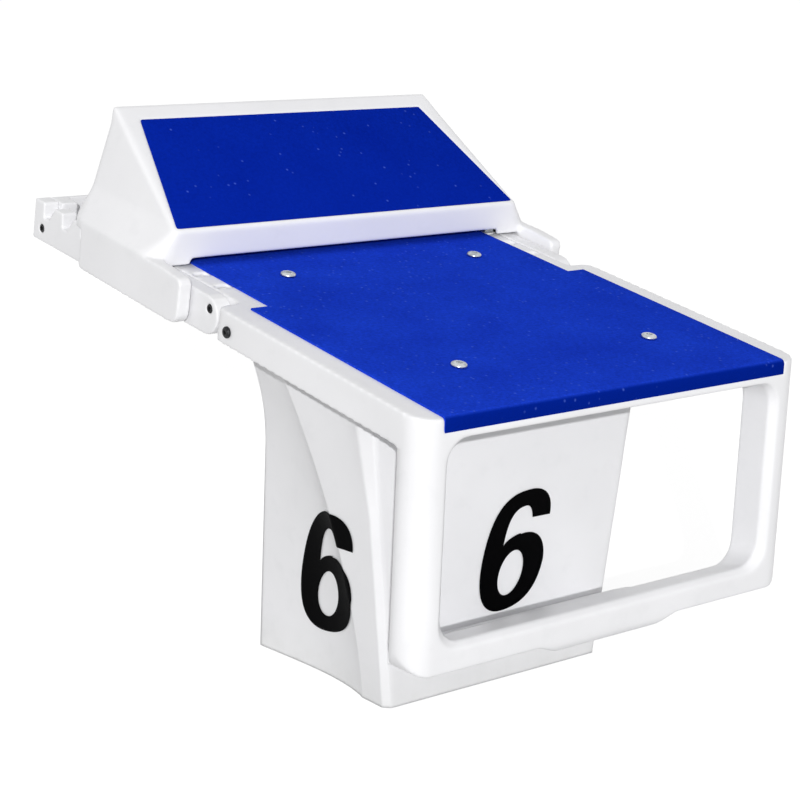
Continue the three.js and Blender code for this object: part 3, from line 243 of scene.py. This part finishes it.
def gel_coat():
    """White gel coat on glass-fibre moulding, sprayed in the mould: glossy, with faint orange peel and long
    shallow waves, dull rub marks, edges worn a little greyer, and a tinge at the foot where pool water
    dries."""
    finish, tree, shader, place = new_finish("white_gel_coat", "#F1F1F3", 0.34)
    clouds = add(tree, "ShaderNodeTexNoise", {"Vector": place}, {"Scale": per_metre(140), "Detail": 3})
    tone = add(tree, "ShaderNodeValToRGB", {"Fac": clouds.outputs["Fac"]},
               stops=[(0.35, "#EEEEF0"), (0.65, "#F3F3F5")])
    rubs = add(tree, "ShaderNodeTexNoise", {"Vector": place},
               {"Scale": per_metre(30), "Detail": 4, "Roughness": 0.6})
    height = add(tree, "ShaderNodeSeparateXYZ", {"Vector": place})
    low_down = add(tree, "ShaderNodeMapRange", {"Value": height.outputs["Z"]},
                   dict(zip(RANGE, (0.0, 0.05, 0.45, 0.0))))
    grime = add(tree, "ShaderNodeMath", {0: low_down.outputs["Result"], 1: rubs.outputs["Fac"]},
                operation="MULTIPLY")
    shape = add(tree, "ShaderNodeNewGeometry")
    ridge = add(tree, "ShaderNodeMapRange", {"Value": shape.outputs["Pointiness"]},
                dict(zip(RANGE, (0.56, 0.68, 0.0, 0.35))))
    worn = add(tree, "ShaderNodeMath", {0: ridge.outputs["Result"], 1: rubs.outputs["Fac"]},
               operation="MULTIPLY")
    rub_marks = add(tree, "ShaderNodeMapRange", {"Value": rubs.outputs["Fac"]},
                    dict(zip(RANGE, (0.56, 0.78, 0.0, 0.2))))
    tired = add(tree, "ShaderNodeMath", {0: worn.outputs[0], 1: rub_marks.outputs["Result"]},
                operation="MAXIMUM")
    stained = add(tree, "ShaderNodeMix", {"Factor": grime.outputs[0], "A": tone.outputs["Color"]},
                  {"B": linear("#CBCCC7")}, data_type="RGBA")
    scuffed = add(tree, "ShaderNodeMix", {"Factor": tired.outputs[0], "A": stained.outputs["Result"]},
                  {"B": linear("#DCDDDF")}, data_type="RGBA")
    gloss = add(tree, "ShaderNodeMapRange", {"Value": rubs.outputs["Fac"]},
                dict(zip(RANGE, (0.35, 0.7, 0.31, 0.4))))
    peel = add(tree, "ShaderNodeTexNoise", {"Vector": place}, {"Scale": per_metre(6), "Detail": 2})
    waves = add(tree, "ShaderNodeTexNoise", {"Vector": place}, {"Scale": per_metre(70), "Detail": 1})
    wavy = add(tree, "ShaderNodeMath", {0: waves.outputs["Fac"], 2: peel.outputs["Fac"]}, {1: 8.0},
               operation="MULTIPLY_ADD")
    bump = add(tree, "ShaderNodeBump", {"Height": wavy.outputs[0]}, {"Distance": 0.02 * MM, "Strength": 1})
    tree.links.new(scuffed.outputs["Result"], shader.inputs["Base Color"])
    tree.links.new(gloss.outputs["Result"], shader.inputs["Roughness"])
    tree.links.new(bump.outputs["Normal"], shader.inputs["Normal"])
    return finish


def anti_slip(name, colour, light_colour, front_shade_colour, speck_share):
    """Blue polyurethane sheet with quartz grit rolled into it: matt and granular, mottled, with a few lighter
    grains that lie open at the face and also stand in for painted glints, and a painted shade on the faces
    that look forward, such as the bend over the front edge. The open grains are drawn 5 mm wide, as a real 1
    mm grain is too small to show."""
    finish, tree, shader, place = new_finish(name, colour, 0.9, Specular_IOR_Level=0.0)
    clouds = add(tree, "ShaderNodeTexNoise", {"Vector": place}, {"Scale": per_metre(80), "Detail": 4})
    tone = add(tree, "ShaderNodeValToRGB", {"Fac": clouds.outputs["Fac"]},
               stops=[(0.32, colour), (0.68, light_colour)])
    fine = add(tree, "ShaderNodeTexNoise", {"Vector": place},
               {"Scale": per_metre(4), "Detail": 5, "Roughness": 0.75})
    shade = add(tree, "ShaderNodeMapRange", {"Value": fine.outputs["Fac"]},
                dict(zip(RANGE, (0.32, 0.68, 0.78, 1.2))))
    mottled = add(tree, "ShaderNodeVectorMath", {0: tone.outputs["Color"], "Scale": shade.outputs["Result"]},
                  operation="SCALE")
    shape = add(tree, "ShaderNodeNewGeometry")
    facing = add(tree, "ShaderNodeSeparateXYZ", {"Vector": shape.outputs["Normal"]})
    # painted shade: the faces that look forward, such as the bend over the front edge, turn a darker blue
    front_facing_share = add(tree, "ShaderNodeMapRange", {"Value": facing.outputs["Y"]},
               dict(zip(RANGE, (-0.45, -0.9, 0.0, 1.0))))
    front_shaded = add(tree, "ShaderNodeMix", {"Factor": front_facing_share.outputs["Result"], "A": mottled.outputs["Vector"]},
                 {"B": linear(front_shade_colour)}, data_type="RGBA")
    # lighter grains: partly the grit's own pale colour, partly a painted glint
    grains = add(tree, "ShaderNodeTexVoronoi", {"Vector": place}, {"Scale": per_metre(5)})
    chosen = add(tree, "ShaderNodeSeparateColor", {"Color": grains.outputs["Color"]})
    grain_and_glint = add(tree, "ShaderNodeMapRange", {"Value": chosen.outputs["Red"]},
                     dict(zip(RANGE, (1 - speck_share, 1 - speck_share + 0.01, 0.0, 0.45))))
    near = add(tree, "ShaderNodeMapRange", {"Value": grains.outputs["Distance"]},
               dict(zip(RANGE, (0.1, 0.42, 1.0, 0.0))))
    speck = add(tree, "ShaderNodeMath", {0: grain_and_glint.outputs["Result"], 1: near.outputs["Result"]},
                operation="MULTIPLY")
    specked = add(tree, "ShaderNodeMix", {"Factor": speck.outputs[0], "A": front_shaded.outputs["Result"]},
                  {"B": linear("#5C7BE6")}, data_type="RGBA")
    grit = add(tree, "ShaderNodeTexVoronoi", {"Vector": place}, {"Scale": per_metre(1.8)})
    lumps = add(tree, "ShaderNodeMath", {0: fine.outputs["Fac"], 1: grit.outputs["Distance"]},
                operation="SUBTRACT")
    bump = add(tree, "ShaderNodeBump", {"Height": lumps.outputs[0]}, {"Distance": 0.6 * MM, "Strength": 1})
    tree.links.new(specked.outputs["Result"], shader.inputs["Base Color"])
    tree.links.new(bump.outputs["Normal"], shader.inputs["Normal"])
    return finish


def vinyl():
    """Black cast vinyl film, cut and pressed on: an even satin black with a faint stipple."""
    finish, tree, shader, place = new_finish("black_vinyl", "#050506", 0.5, Specular_IOR_Level=0.01)
    stipple = add(tree, "ShaderNodeTexNoise", {"Vector": place}, {"Scale": per_metre(1.5), "Detail": 3})
    satin = add(tree, "ShaderNodeMapRange", {"Value": stipple.outputs["Fac"]},
                dict(zip(RANGE, (0.3, 0.7, 0.44, 0.58))))
    bump = add(tree, "ShaderNodeBump", {"Height": stipple.outputs["Fac"]},
               {"Distance": 0.02 * MM, "Strength": 1})
    tree.links.new(satin.outputs["Result"], shader.inputs["Roughness"])
    tree.links.new(bump.outputs["Normal"], shader.inputs["Normal"])
    return finish


def stainless():
    """Stainless steel, turned: bright, with fine tool marks and a few dull water spots."""
    finish, tree, shader, place = new_finish("turned_stainless", "#C3C6C9", 0.28, Metallic=1.0)
    marks = add(tree, "ShaderNodeTexNoise", {"Vector": place},
                {"Scale": per_metre(0.9), "Detail": 5, "Roughness": 0.8})
    spots = add(tree, "ShaderNodeTexNoise", {"Vector": place}, {"Scale": per_metre(6), "Detail": 3})
    tone = add(tree, "ShaderNodeValToRGB", {"Fac": spots.outputs["Fac"]},
               stops=[(0.35, "#A7ABAF"), (0.6, "#CDD0D2")])
    gloss = add(tree, "ShaderNodeMapRange", {"Value": marks.outputs["Fac"]},
                dict(zip(RANGE, (0.3, 0.7, 0.2, 0.42))))
    bump = add(tree, "ShaderNodeBump", {"Height": marks.outputs["Fac"]},
               {"Distance": 0.03 * MM, "Strength": 1})
    tree.links.new(tone.outputs["Color"], shader.inputs["Base Color"])
    tree.links.new(gloss.outputs["Result"], shader.inputs["Roughness"])
    tree.links.new(bump.outputs["Normal"], shader.inputs["Normal"])
    return finish


def galvanised():
    """Mild steel, hot-dip galvanised: grey zinc with large dull spangles and a slightly lumpy skin."""
    finish, tree, shader, place = new_finish("galvanised_steel", "#989DA1", 0.5, Metallic=0.85)
    spangle = add(tree, "ShaderNodeTexVoronoi", {"Vector": place}, {"Scale": per_metre(14)})
    shade = add(tree, "ShaderNodeSeparateColor", {"Color": spangle.outputs["Color"]})
    tone = add(tree, "ShaderNodeValToRGB", {"Fac": shade.outputs["Green"]},
               stops=[(0.0, "#878D92"), (1.0, "#ABB0B3")])
    dull = add(tree, "ShaderNodeMapRange", {"Value": shade.outputs["Green"]},
               dict(zip(RANGE, (0.0, 1.0, 0.38, 0.6))))
    lumps = add(tree, "ShaderNodeTexNoise", {"Vector": place}, {"Scale": per_metre(9), "Detail": 4})
    bump = add(tree, "ShaderNodeBump", {"Height": lumps.outputs["Fac"]},
               {"Distance": 0.15 * MM, "Strength": 1})
    tree.links.new(tone.outputs["Color"], shader.inputs["Base Color"])
    tree.links.new(dull.outputs["Result"], shader.inputs["Roughness"])
    tree.links.new(bump.outputs["Normal"], shader.inputs["Normal"])
    return finish


def black_oxide():
    """Blackened steel screws: dark and slightly oily, rubbed to bare grey metal at small spots."""
    finish, tree, shader, place = new_finish("black_oxide_steel", "#2A2B2E", 0.45, Metallic=0.7)
    rub = add(tree, "ShaderNodeTexNoise", {"Vector": place},
              {"Scale": per_metre(2.5), "Detail": 6, "Roughness": 0.7})
    tone = add(tree, "ShaderNodeValToRGB", {"Fac": rub.outputs["Fac"]},
               stops=[(0.45, "#1F2022"), (0.62, "#3A3B3E"), (0.75, "#77797D")])
    bump = add(tree, "ShaderNodeBump", {"Height": rub.outputs["Fac"]},
               {"Distance": 0.03 * MM, "Strength": 1})
    tree.links.new(tone.outputs["Color"], shader.inputs["Base Color"])
    tree.links.new(bump.outputs["Normal"], shader.inputs["Normal"])
    return finish


def polyethylene():
    """Black polyethylene, milled: waxy, with faint cutter lines."""
    finish, tree, shader, place = new_finish("black_polyethylene", "#1C1D1F", 0.5)
    lines = add(tree, "ShaderNodeTexWave", {"Vector": place},
                {"Scale": per_metre(8), "Distortion": 1.5, "Detail": 2})
    waxy = add(tree, "ShaderNodeMapRange", {"Value": lines.outputs["Fac"]},
               dict(zip(RANGE, (0.0, 1.0, 0.42, 0.58))))
    bump = add(tree, "ShaderNodeBump", {"Height": lines.outputs["Fac"]},
               {"Distance": 0.03 * MM, "Strength": 1})
    tree.links.new(waxy.outputs["Result"], shader.inputs["Roughness"])
    tree.links.new(bump.outputs["Normal"], shader.inputs["Normal"])
    return finish


FINISHES = {
    "gelcoat": gel_coat(),
    # the third colour given to each blue sheet is a painted shade for its faces that look forward
    "tread": anti_slip("blue_anti_slip_sheet", "#193BC8", "#1D43D5", "#03218E", 0.06),
    "numeral": vinyl(),
    "stainless": stainless(),
    "galvanised": galvanised(),
    "black_bolt": black_oxide(),
    "glide": polyethylene(),
}
# the kick plate's sheet is a darker copy of the deck's blue sheet: painted shade on the slope
kick_sheet = anti_slip("blue_anti_slip_sheet_shaded_copy", "#06249F", "#0829A8", "#06249F", 0.03)
slot_of = {row["node"]: row["material_slot"] for row in frame["record"]["subparts"]}


# Pieces

def piece(name, mesh, body, slot, *nodes):
    """A new mesh that stands for CAD nodes and rides on their body."""
    thing = bpy.data.objects.new(name, mesh)
    bpy.context.scene.collection.objects.link(thing)
    mesh.materials.append(FINISHES[slot])
    mesh.polygons.foreach_set("use_smooth", [True] * len(mesh.polygons))
    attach(thing, body)
    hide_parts(*nodes)
    return thing


def change(thing, kind, name, **settings):
    """Adds a modifier with its settings."""
    modifier = thing.modifiers.new(name, kind)
    for key, value in settings.items():
        setattr(modifier, key, value)
    return modifier


def soften(thing, grain, passes):
    """Gives a moulded solid the round edges of a mould: a fine even skin, relaxed a few times."""
    change(thing, "REMESH", "fine_skin", mode="VOXEL", voxel_size=grain, use_smooth_shade=True)
    change(thing, "SMOOTH", "round_edges", factor=0.5, iterations=passes)


def grid_mesh(name, rows, closed=False):
    """A mesh through rows of as many points each."""
    count = len(rows[0])
    points = [point for row in rows for point in row]
    faces = []
    for i in range(len(rows) - 1):
        for j in range(count if closed else count - 1):
            k = (j + 1) % count
            faces.append((i * count + j, i * count + k, (i + 1) * count + k, (i + 1) * count + j))
    mesh = bpy.data.meshes.new(name)
    mesh.from_pydata(points, [], faces)
    return mesh


def steps(start, end, count):
    """Even steps from start up to, but without, end."""
    return [start + (end - start) * i / count for i in range(count)]


# Treads

def deck_tread():
    """The blue sheet, wide in front and narrow behind, bent down over the front edge."""
    straight_down = FOLD_DEPTH - FOLD_RADIUS
    arc = FOLD_RADIUS * (math.pi / 2 - DECK_SLOPE)
    runs = [0.0, straight_down] + [straight_down + arc * i / FOLD_STEPS for i in range(1, FOLD_STEPS + 1)]
    deck_start = runs[-1]
    wide_end = deck_start + TREAD_WIDE_LENGTH - FOLD_RADIUS
    narrow_end = wide_end + TREAD_LENGTH - TREAD_WIDE_LENGTH
    runs += steps(deck_start + SHEET_FIRST, wide_end, SHEET_CELLS["wide"]) + [wide_end]
    runs += steps(wide_end + SHEET_SECOND, narrow_end, SHEET_CELLS["narrow"]) + [narrow_end]
    centre = Vector((FOLD_RADIUS, -FOLD_RADIUS))

    def place(run):
        if run <= straight_down:
            return Vector((0, -FOLD_DEPTH + run))
        if run <= deck_start:
            angle = (run - straight_down) / FOLD_RADIUS
            return centre + Vector((-math.cos(angle), math.sin(angle))) * FOLD_RADIUS
        begin = centre + Vector((-math.sin(DECK_SLOPE), math.cos(DECK_SLOPE))) * FOLD_RADIUS
        return begin + Vector((math.cos(DECK_SLOPE), math.sin(DECK_SLOPE))) * (run - deck_start)

    columns = [-TREAD_HALF_WIDTH, -TREAD_NARROW_HALF_WIDTH]
    columns += steps(-TREAD_NARROW_HALF_WIDTH, TREAD_NARROW_HALF_WIDTH, SHEET_CELLS["across"])[1:]
    columns += [TREAD_NARROW_HALF_WIDTH, TREAD_HALF_WIDTH]
    spots = {}
    points = []
    faces = []

    def spot(i, j):
        if (i, j) not in spots:
            spots[i, j] = len(points)
            y, z = place(runs[j])
            points.append((columns[i], FRONT_Y + y, DECK_HEIGHT + z))
        return spots[i, j]

    for j in range(len(runs) - 1):
        for i in range(len(columns) - 1):
            narrow = 0 < i < len(columns) - 2
            if runs[j] < wide_end or narrow:
                faces.append((spot(i, j), spot(i + 1, j), spot(i + 1, j + 1), spot(i, j + 1)))
    mesh = bpy.data.meshes.new("deck_sheet")
    mesh.from_pydata(points, [], faces)
    sheet = piece("deck_sheet", mesh, "block", "tread", "deck_tread")
    change(sheet, "SOLIDIFY", "thickness", thickness=TREAD_THICKNESS, offset=-1)
    change(sheet, "BEVEL", "worn_edge", width=TREAD_EDGE, segments=3, limit_method="ANGLE",
           angle_limit=TREAD_EDGE_ANGLE)


def kick_tread():
    """The blue sheet on the kick plate's slope, wider below than above, in a darker copy of the deck's blue
    that paints shade on the slope.
    """
    mesh = bpy.data.meshes.new("kick_sheet")
    maker = bmesh.new()
    top = PANEL_START + PANEL_LENGTH
    outline = [(-PANEL_BOTTOM_HALF_WIDTH, PANEL_START), (PANEL_BOTTOM_HALF_WIDTH, PANEL_START),
               (PANEL_TOP_HALF_WIDTH, top), (-PANEL_TOP_HALF_WIDTH, top)]
    corners = [maker.verts.new((x, y, 0)) for x, y in outline]
    maker.faces.new(corners)
    bmesh.ops.bevel(maker, geom=corners, offset=PANEL_CORNER, segments=PANEL_CORNER_STEPS, profile=0.5,
                    affect="VERTICES")
    maker.to_mesh(mesh)
    maker.free()
    mesh.transform(panel_place)
    sheet = piece("kick_sheet", mesh, "kick_plate", "tread", "kick_tread")
    mesh.materials[0] = kick_sheet
    change(sheet, "SOLIDIFY", "thickness", thickness=TREAD_THICKNESS, offset=-1)
    change(sheet, "BEVEL", "worn_edge", width=TREAD_EDGE, segments=3, limit_method="ANGLE",
           angle_limit=TREAD_EDGE_ANGLE)


# Pedestal

def dish(share):
    """How deep a dish lies at a share of its length: steep behind its crease, then a slow rise."""
    start = DISH_SOFTNESS ** DISH_SKEW
    place = ((share + DISH_SOFTNESS) ** DISH_SKEW - start) / ((1 + DISH_SOFTNESS) ** DISH_SKEW - start)
    return math.sin(math.pi * place)


def pedestal_side(y, height):
    """The pedestal's half width at one place: two dished facets that meet at a crease."""
    front_half = PEDESTAL_HALF_WIDTH + PEDESTAL_DRAFT * height
    flare = max(0, 1 - (DECK_HEIGHT - height) / REAR_FLARE_HEIGHT)
    rear_half = REAR_HALF_WIDTH + REAR_FLARE * flare ** 2
    crease, upper, side_front = crease_places(height)
    if y < crease:
        share = max(0, y - side_front) / (crease - side_front)
        return front_half - UPPER_DISH * upper * dish(share)
    share = min(1, (y - crease) / (PEDESTAL_REAR - crease))
    return front_half + (rear_half - front_half) * share - DISH_DEPTH * dish(share)


def crease_places(height):
    """Where the crease runs, how far the upper facet has begun, and where the front chamfer ends."""
    crease = PEDESTAL_FRONT + CREASE_FOOT_SETBACK + CREASE_SWEEP * (height / DECK_HEIGHT) ** 2
    upper = max(0, (height - UPPER_CHAMFER_BASE) / (DECK_HEIGHT - UPPER_CHAMFER_BASE))
    return crease, upper, PEDESTAL_FRONT + PEDESTAL_CHAMFER + UPPER_CHAMFER * upper


def pedestal_half(height):
    """Half of the pedestal's outline at one height, from the middle of its front round to its back."""
    front_half = PEDESTAL_HALF_WIDTH + PEDESTAL_DRAFT * height
    crease, _, side_front = crease_places(height)
    points = [(x, PEDESTAL_FRONT) for x in steps(0, front_half - PEDESTAL_CHAMFER, SKIN_CELLS["end"])]
    for share in steps(0, 1, SKIN_CELLS["chamfer"]):
        points.append((front_half - PEDESTAL_CHAMFER * (1 - share),
                       PEDESTAL_FRONT + (side_front - PEDESTAL_FRONT) * share))
    points += [(pedestal_side(y, height), y) for y in steps(side_front, crease, SKIN_CELLS["upper"])]
    for share in steps(0, 1, SKIN_CELLS["lower"]):
        y = crease + (PEDESTAL_REAR - crease) * share ** LOWER_CROWDING
        points.append((pedestal_side(y, height), y))
    rear_half = pedestal_side(PEDESTAL_REAR, height)
    points += [(x, PEDESTAL_REAR) for x in steps(rear_half, 0, SKIN_CELLS["end"])]
    points.append((0, PEDESTAL_REAR))
    return points


def pedestal():
    """The flared column with its creased sides, cut off parallel to the deck, and an inward flange on top."""
    count = len(pedestal_half(0))

    def top_height(y):
        return DECK_HEIGHT + (y - FRONT_Y) * math.tan(DECK_SLOPE) - PEDESTAL_TOP_DEPTH / math.cos(DECK_SLOPE)

    rows = []
    for i in range(SKIN_LEVELS + 1):
        half = []
        for j in range(count):
            height = DECK_HEIGHT * i / SKIN_LEVELS
            for _ in range(TOP_FIT_PASSES):
                x, y = pedestal_half(height)[j]
                height = top_height(y) * i / SKIN_LEVELS
            half.append(Vector((x, y, height)))
        rows.append(half + [Vector((-p.x, p.y, p.z)) for p in half[-2:0:-1]])
    mouth = []
    for p in rows[-1]:
        x = max(-MOUTH_HALF_WIDTH, min(MOUTH_HALF_WIDTH, p.x))
        y = max(PEDESTAL_FRONT + MOUTH_MARGIN, min(PEDESTAL_REAR - MOUTH_MARGIN, p.y))
        mouth.append(Vector((x, y, top_height(y))))
    rows.append(mouth)
    mesh = grid_mesh("pedestal_skin", rows, closed=True)
    column = piece("pedestal_skin", mesh, "block", "gelcoat", "pedestal_shell")
    change(column, "WELD", "close_seams", merge_threshold=SEAM_GAP)
    change(column, "SMOOTH", "soft_creases", factor=0.5, iterations=2)
    change(column, "SOLIDIFY", "wall", thickness=PEDESTAL_WALL, offset=-1)


# Lane numbers

def six(name, node, figure, place_of):
    """A plain figure six in thin film, laid on a surface that place_of gives."""
    def spot(x, y):
        return (x * figure["width"] + y * figure["lean"], y * figure["height"] + x * figure["rise"], 0)

    outline = []
    here = Vector(SIX_START)
    for ax, ay, bx, by, x, y in SIX_CURVES:
        one, two, there = Vector((ax, ay)), Vector((bx, by)), Vector((x, y))
        for t in steps(0, 1, FIGURE_CURVE_STEPS):
            p = (here * (1 - t) ** 3 + one * 3 * (1 - t) ** 2 * t
                 + two * 3 * (1 - t) * t ** 2 + there * t ** 3)
            outline.append(spot(*p))
        here = there
    outline.append(spot(*here))
    middle_x, middle_y, half_x, half_y = SIX_COUNTER
    counter = [spot(middle_x + half_x * math.cos(a), middle_y + half_y * math.sin(a))
               for a in steps(0, 2 * math.pi, COUNTER_STEPS)]
    maker = bmesh.new()
    edges = []
    for loop in (outline, counter):
        corners = [maker.verts.new(p) for p in loop]
        edges += [maker.edges.new((corners[i - 1], corners[i])) for i in range(len(corners))]
    bmesh.ops.triangle_fill(maker, edges=edges, use_beauty=True, use_dissolve=False)
    for axis, reach in ((0, figure["width"] + figure["lean"]), (1, figure["height"] + figure["rise"])):
        for cut in steps(0, reach, FILM_CELLS):
            normal = [0, 0, 0]
            normal[axis] = 1
            bmesh.ops.bisect_plane(maker, geom=maker.verts[:] + maker.edges[:] + maker.faces[:],
                                   plane_co=[n * cut for n in normal], plane_no=normal)
    for corner in maker.verts:
        corner.co = place_of(corner.co.x, corner.co.y)
    bmesh.ops.recalc_face_normals(maker, faces=maker.faces)
    outward = place_of(figure["width"] / 2, figure["height"] / 2)
    outward.z = 0
    if sum(face.normal.dot(outward) for face in maker.faces) < 0:
        bmesh.ops.reverse_faces(maker, faces=maker.faces)
    mesh = bpy.data.meshes.new(name)
    maker.to_mesh(mesh)
    maker.free()
    film = piece(name, mesh, "block", "numeral", node)
    change(film, "SOLIDIFY", "film", thickness=FILM_THICKNESS, offset=1)


def lane_numbers():
    """The same figure on the front and on both sides."""
    left, low = FRONT_SIX_PLACE
    six("front_six", "front_numeral", FRONT_SIX,
        lambda x, y: Vector((left + x, PEDESTAL_FRONT - FILM_LIFT, low + y)))
    back, foot = SIDE_SIX_PLACE
    rear = FRONT_Y + back

    def on_left(x, y):
        return Vector((-pedestal_side(rear - x, foot + y) - FILM_LIFT, rear - x, foot + y))

    def on_right(x, y):
        forward = rear - SIDE_SIX["width"] - SIDE_SIX["lean"] + x
        return Vector((pedestal_side(forward, foot + y) + FILM_LIFT, forward, foot + y))

    six("left_six", "left_numeral", SIDE_SIX, on_left)
    six("right_six", "right_numeral", SIDE_SIX, on_right)


# Screws

def screw(name, node, slot, place, head_radius, head_height, dome, flat, shank_radius, length, socket):
    """A socket screw that stands on its head's underside along +Z: domed or flat head, six-sided socket."""
    foot, foot_rise = HEAD_FOOT_SHARES
    profile = [(SHANK_END, -length), (shank_radius * SHANK_TIP_SHARE, -length),
               (shank_radius, -length + shank_radius * (1 - SHANK_TIP_SHARE)), (shank_radius, 0),
               (head_radius * foot, 0), (head_radius, head_height * foot_rise)]
    shoulder = head_height * (1 - dome)
    inner = head_radius * flat
    for i in range(HEAD_STEPS + 1):
        angle = math.pi / 2 * i / HEAD_STEPS
        profile.append((inner + (head_radius - inner) * math.cos(angle),
                        shoulder + (head_height - shoulder) * math.sin(angle)))
    around = steps(0, 2 * math.pi, SCREW_STEPS)
    rows = []
    for radius, z in profile:
        rows.append([Vector((radius * math.cos(a), radius * math.sin(a), z)) for a in around])
    for depth, share in SOCKET_WALL_SHARES:
        row = []
        for a in around:
            reach = socket / math.cos((a % (math.pi / 3)) - math.pi / 6) * share
            row.append(Vector((reach * math.cos(a), reach * math.sin(a), head_height * (1 - depth))))
        rows.append(row)
    mesh = grid_mesh(name, rows, closed=True)
    mesh.transform(place)
    thing = piece(name, mesh, "block", slot, node)
    change(thing, "BEVEL", "crisp_edges", width=SCREW_EDGE, segments=2, limit_method="ANGLE",
           angle_limit=SCREW_EDGE_ANGLE)


def sideways(side):
    """Turns +Z to point out to that side."""
    return Matrix.Rotation(side * math.pi / 2, 4, "Y")


def screws():
    """All screws that show, each in the place of its CAD bolt."""
    for key, (across, along) in DECK_SCREWS.items():
        place = deck_place @ Matrix.Translation((across * MM, along * MM, DECK_SCREW_LIFT))
        screw(f"deck_screw_{key}", f"deck_bolt_{key}", "stainless", place, **DECK_SCREW)
    for side, word in ((-1, "left"), (1, "right")):
        for key, (along, depth) in RAIL_SCREWS.items():
            spot = Matrix.Translation((side * (RAIL_OUTER - RAIL_SCREW_SINK), along * MM, -depth * MM))
            screw(f"rail_screw_{key}_{word}", f"rail_bolt_{key}_{word}", "black_bolt",
                  deck_place @ spot @ sideways(side), **RAIL_SCREW)
        along, depth = SIDE_SCREW_PLACE
        spot = Matrix.Translation((side * SIDE_SCREW_ACROSS, along * MM, -depth * MM))
        screw(f"side_screw_{word}", f"side_bolt_{word}", "black_bolt",
              deck_place @ spot @ sideways(side), **SIDE_SCREW)


# CAD nodes that stay

for node_name, node in frame["nodes"].items():
    node.data.materials.clear()
    node.data.materials.append(FINISHES[slot_of[node_name]])

deck_tread()
kick_tread()
pedestal()
lane_numbers()
screws()
for node_name, (skin_grain, relaxings) in MOULD_SKINS.items():
    soften(frame["nodes"][node_name], skin_grain, relaxings)
for node_name, edge in STEEL_EDGES.items():
    change(frame["nodes"][node_name], "BEVEL", "broken_edges", width=edge, segments=2, limit_method="ANGLE",
           angle_limit=STEEL_EDGE_ANGLE)


# Studio

def seen_white(tree, lit, seen):
    """The lit strength, or the seen one where the camera or a shiny surface looks at it."""
    ray = add(tree, "ShaderNodeLightPath")
    looks = add(tree, "ShaderNodeMath", {0: ray.outputs["Is Camera Ray"], 1: ray.outputs["Is Glossy Ray"]},
                operation="MAXIMUM")
    looks = add(tree, "ShaderNodeMath", {0: looks.outputs[0], 1: ray.outputs["Is Transmission Ray"]},
                operation="MAXIMUM")
    strength = add(tree, "ShaderNodeMapRange", {"Value": looks.outputs[0]},
                   dict(zip(RANGE, (0.0, 1.0, lit, seen))))
    return strength.outputs["Result"]


def studio_floor():
    """A pale floor that the camera sees as white, but for the shadow on it."""
    mesh = bpy.data.meshes.new("floor")
    corners = [(x * FLOOR_REACH, y * FLOOR_REACH, 0) for x, y in ((-1, -1), (1, -1), (1, 1), (-1, 1))]
    mesh.from_pydata(corners, [], [(0, 1, 2, 3)])
    floor = bpy.data.objects.new("floor", mesh)
    bpy.context.scene.collection.objects.link(floor)
    finish, tree, shader, _ = new_finish("white_studio_floor", "#BDBDBD", 0.9, Specular_IOR_Level=0.0)
    shader.inputs["Emission Color"].default_value = (1, 1, 1, 1)
    tree.links.new(seen_white(tree, 0.0, FLOOR_GLOW), shader.inputs["Emission Strength"])
    mesh.materials.append(finish)


def studio_flash(place, aim):
    """A small square lamp that points at the block."""
    lamp = bpy.data.lights.new("flash", "AREA")
    lamp.size = FLASH_SIZE
    lamp.energy = FLASH_POWER
    flash = bpy.data.objects.new("flash", lamp)
    bpy.context.scene.collection.objects.link(flash)
    flash.location = place
    flash.rotation_euler = (aim - place).to_track_quat("-Z", "Y").to_euler()


def studio_camera():
    """The camera, where the fit to the photograph puts it."""
    lens = bpy.data.cameras.new("camera")
    lens.lens = CAMERA_LENS
    lens.sensor_width = CAMERA_SENSOR
    camera = bpy.data.objects.new("camera", lens)
    bpy.context.scene.collection.objects.link(camera)
    forward = Vector(CAMERA_FORWARD).normalized()
    right = forward.cross(Vector(CAMERA_UP)).normalized()
    turn = Matrix((right, right.cross(forward), -forward)).transposed().to_4x4()
    camera.matrix_world = Matrix.Translation(CAMERA_PLACE) @ turn
    bpy.context.scene.camera = camera


studio_floor()
studio_camera()
studio_flash(bpy.context.scene.camera.matrix_world @ Vector(FLASH_PLACE), Vector(FLASH_AIM))
world = bpy.data.worlds.new("white_studio")
world.use_nodes = True
world_tree = world.node_tree
sky = world_tree.nodes["Background"]
sky.inputs["Color"].default_value = (1, 1, 1, 1)
world_tree.links.new(seen_white(world_tree, SKY_LEVEL, 1.0), sky.inputs["Strength"])
bpy.context.scene.world = world
bpy.context.scene.view_settings.view_transform = "Standard"
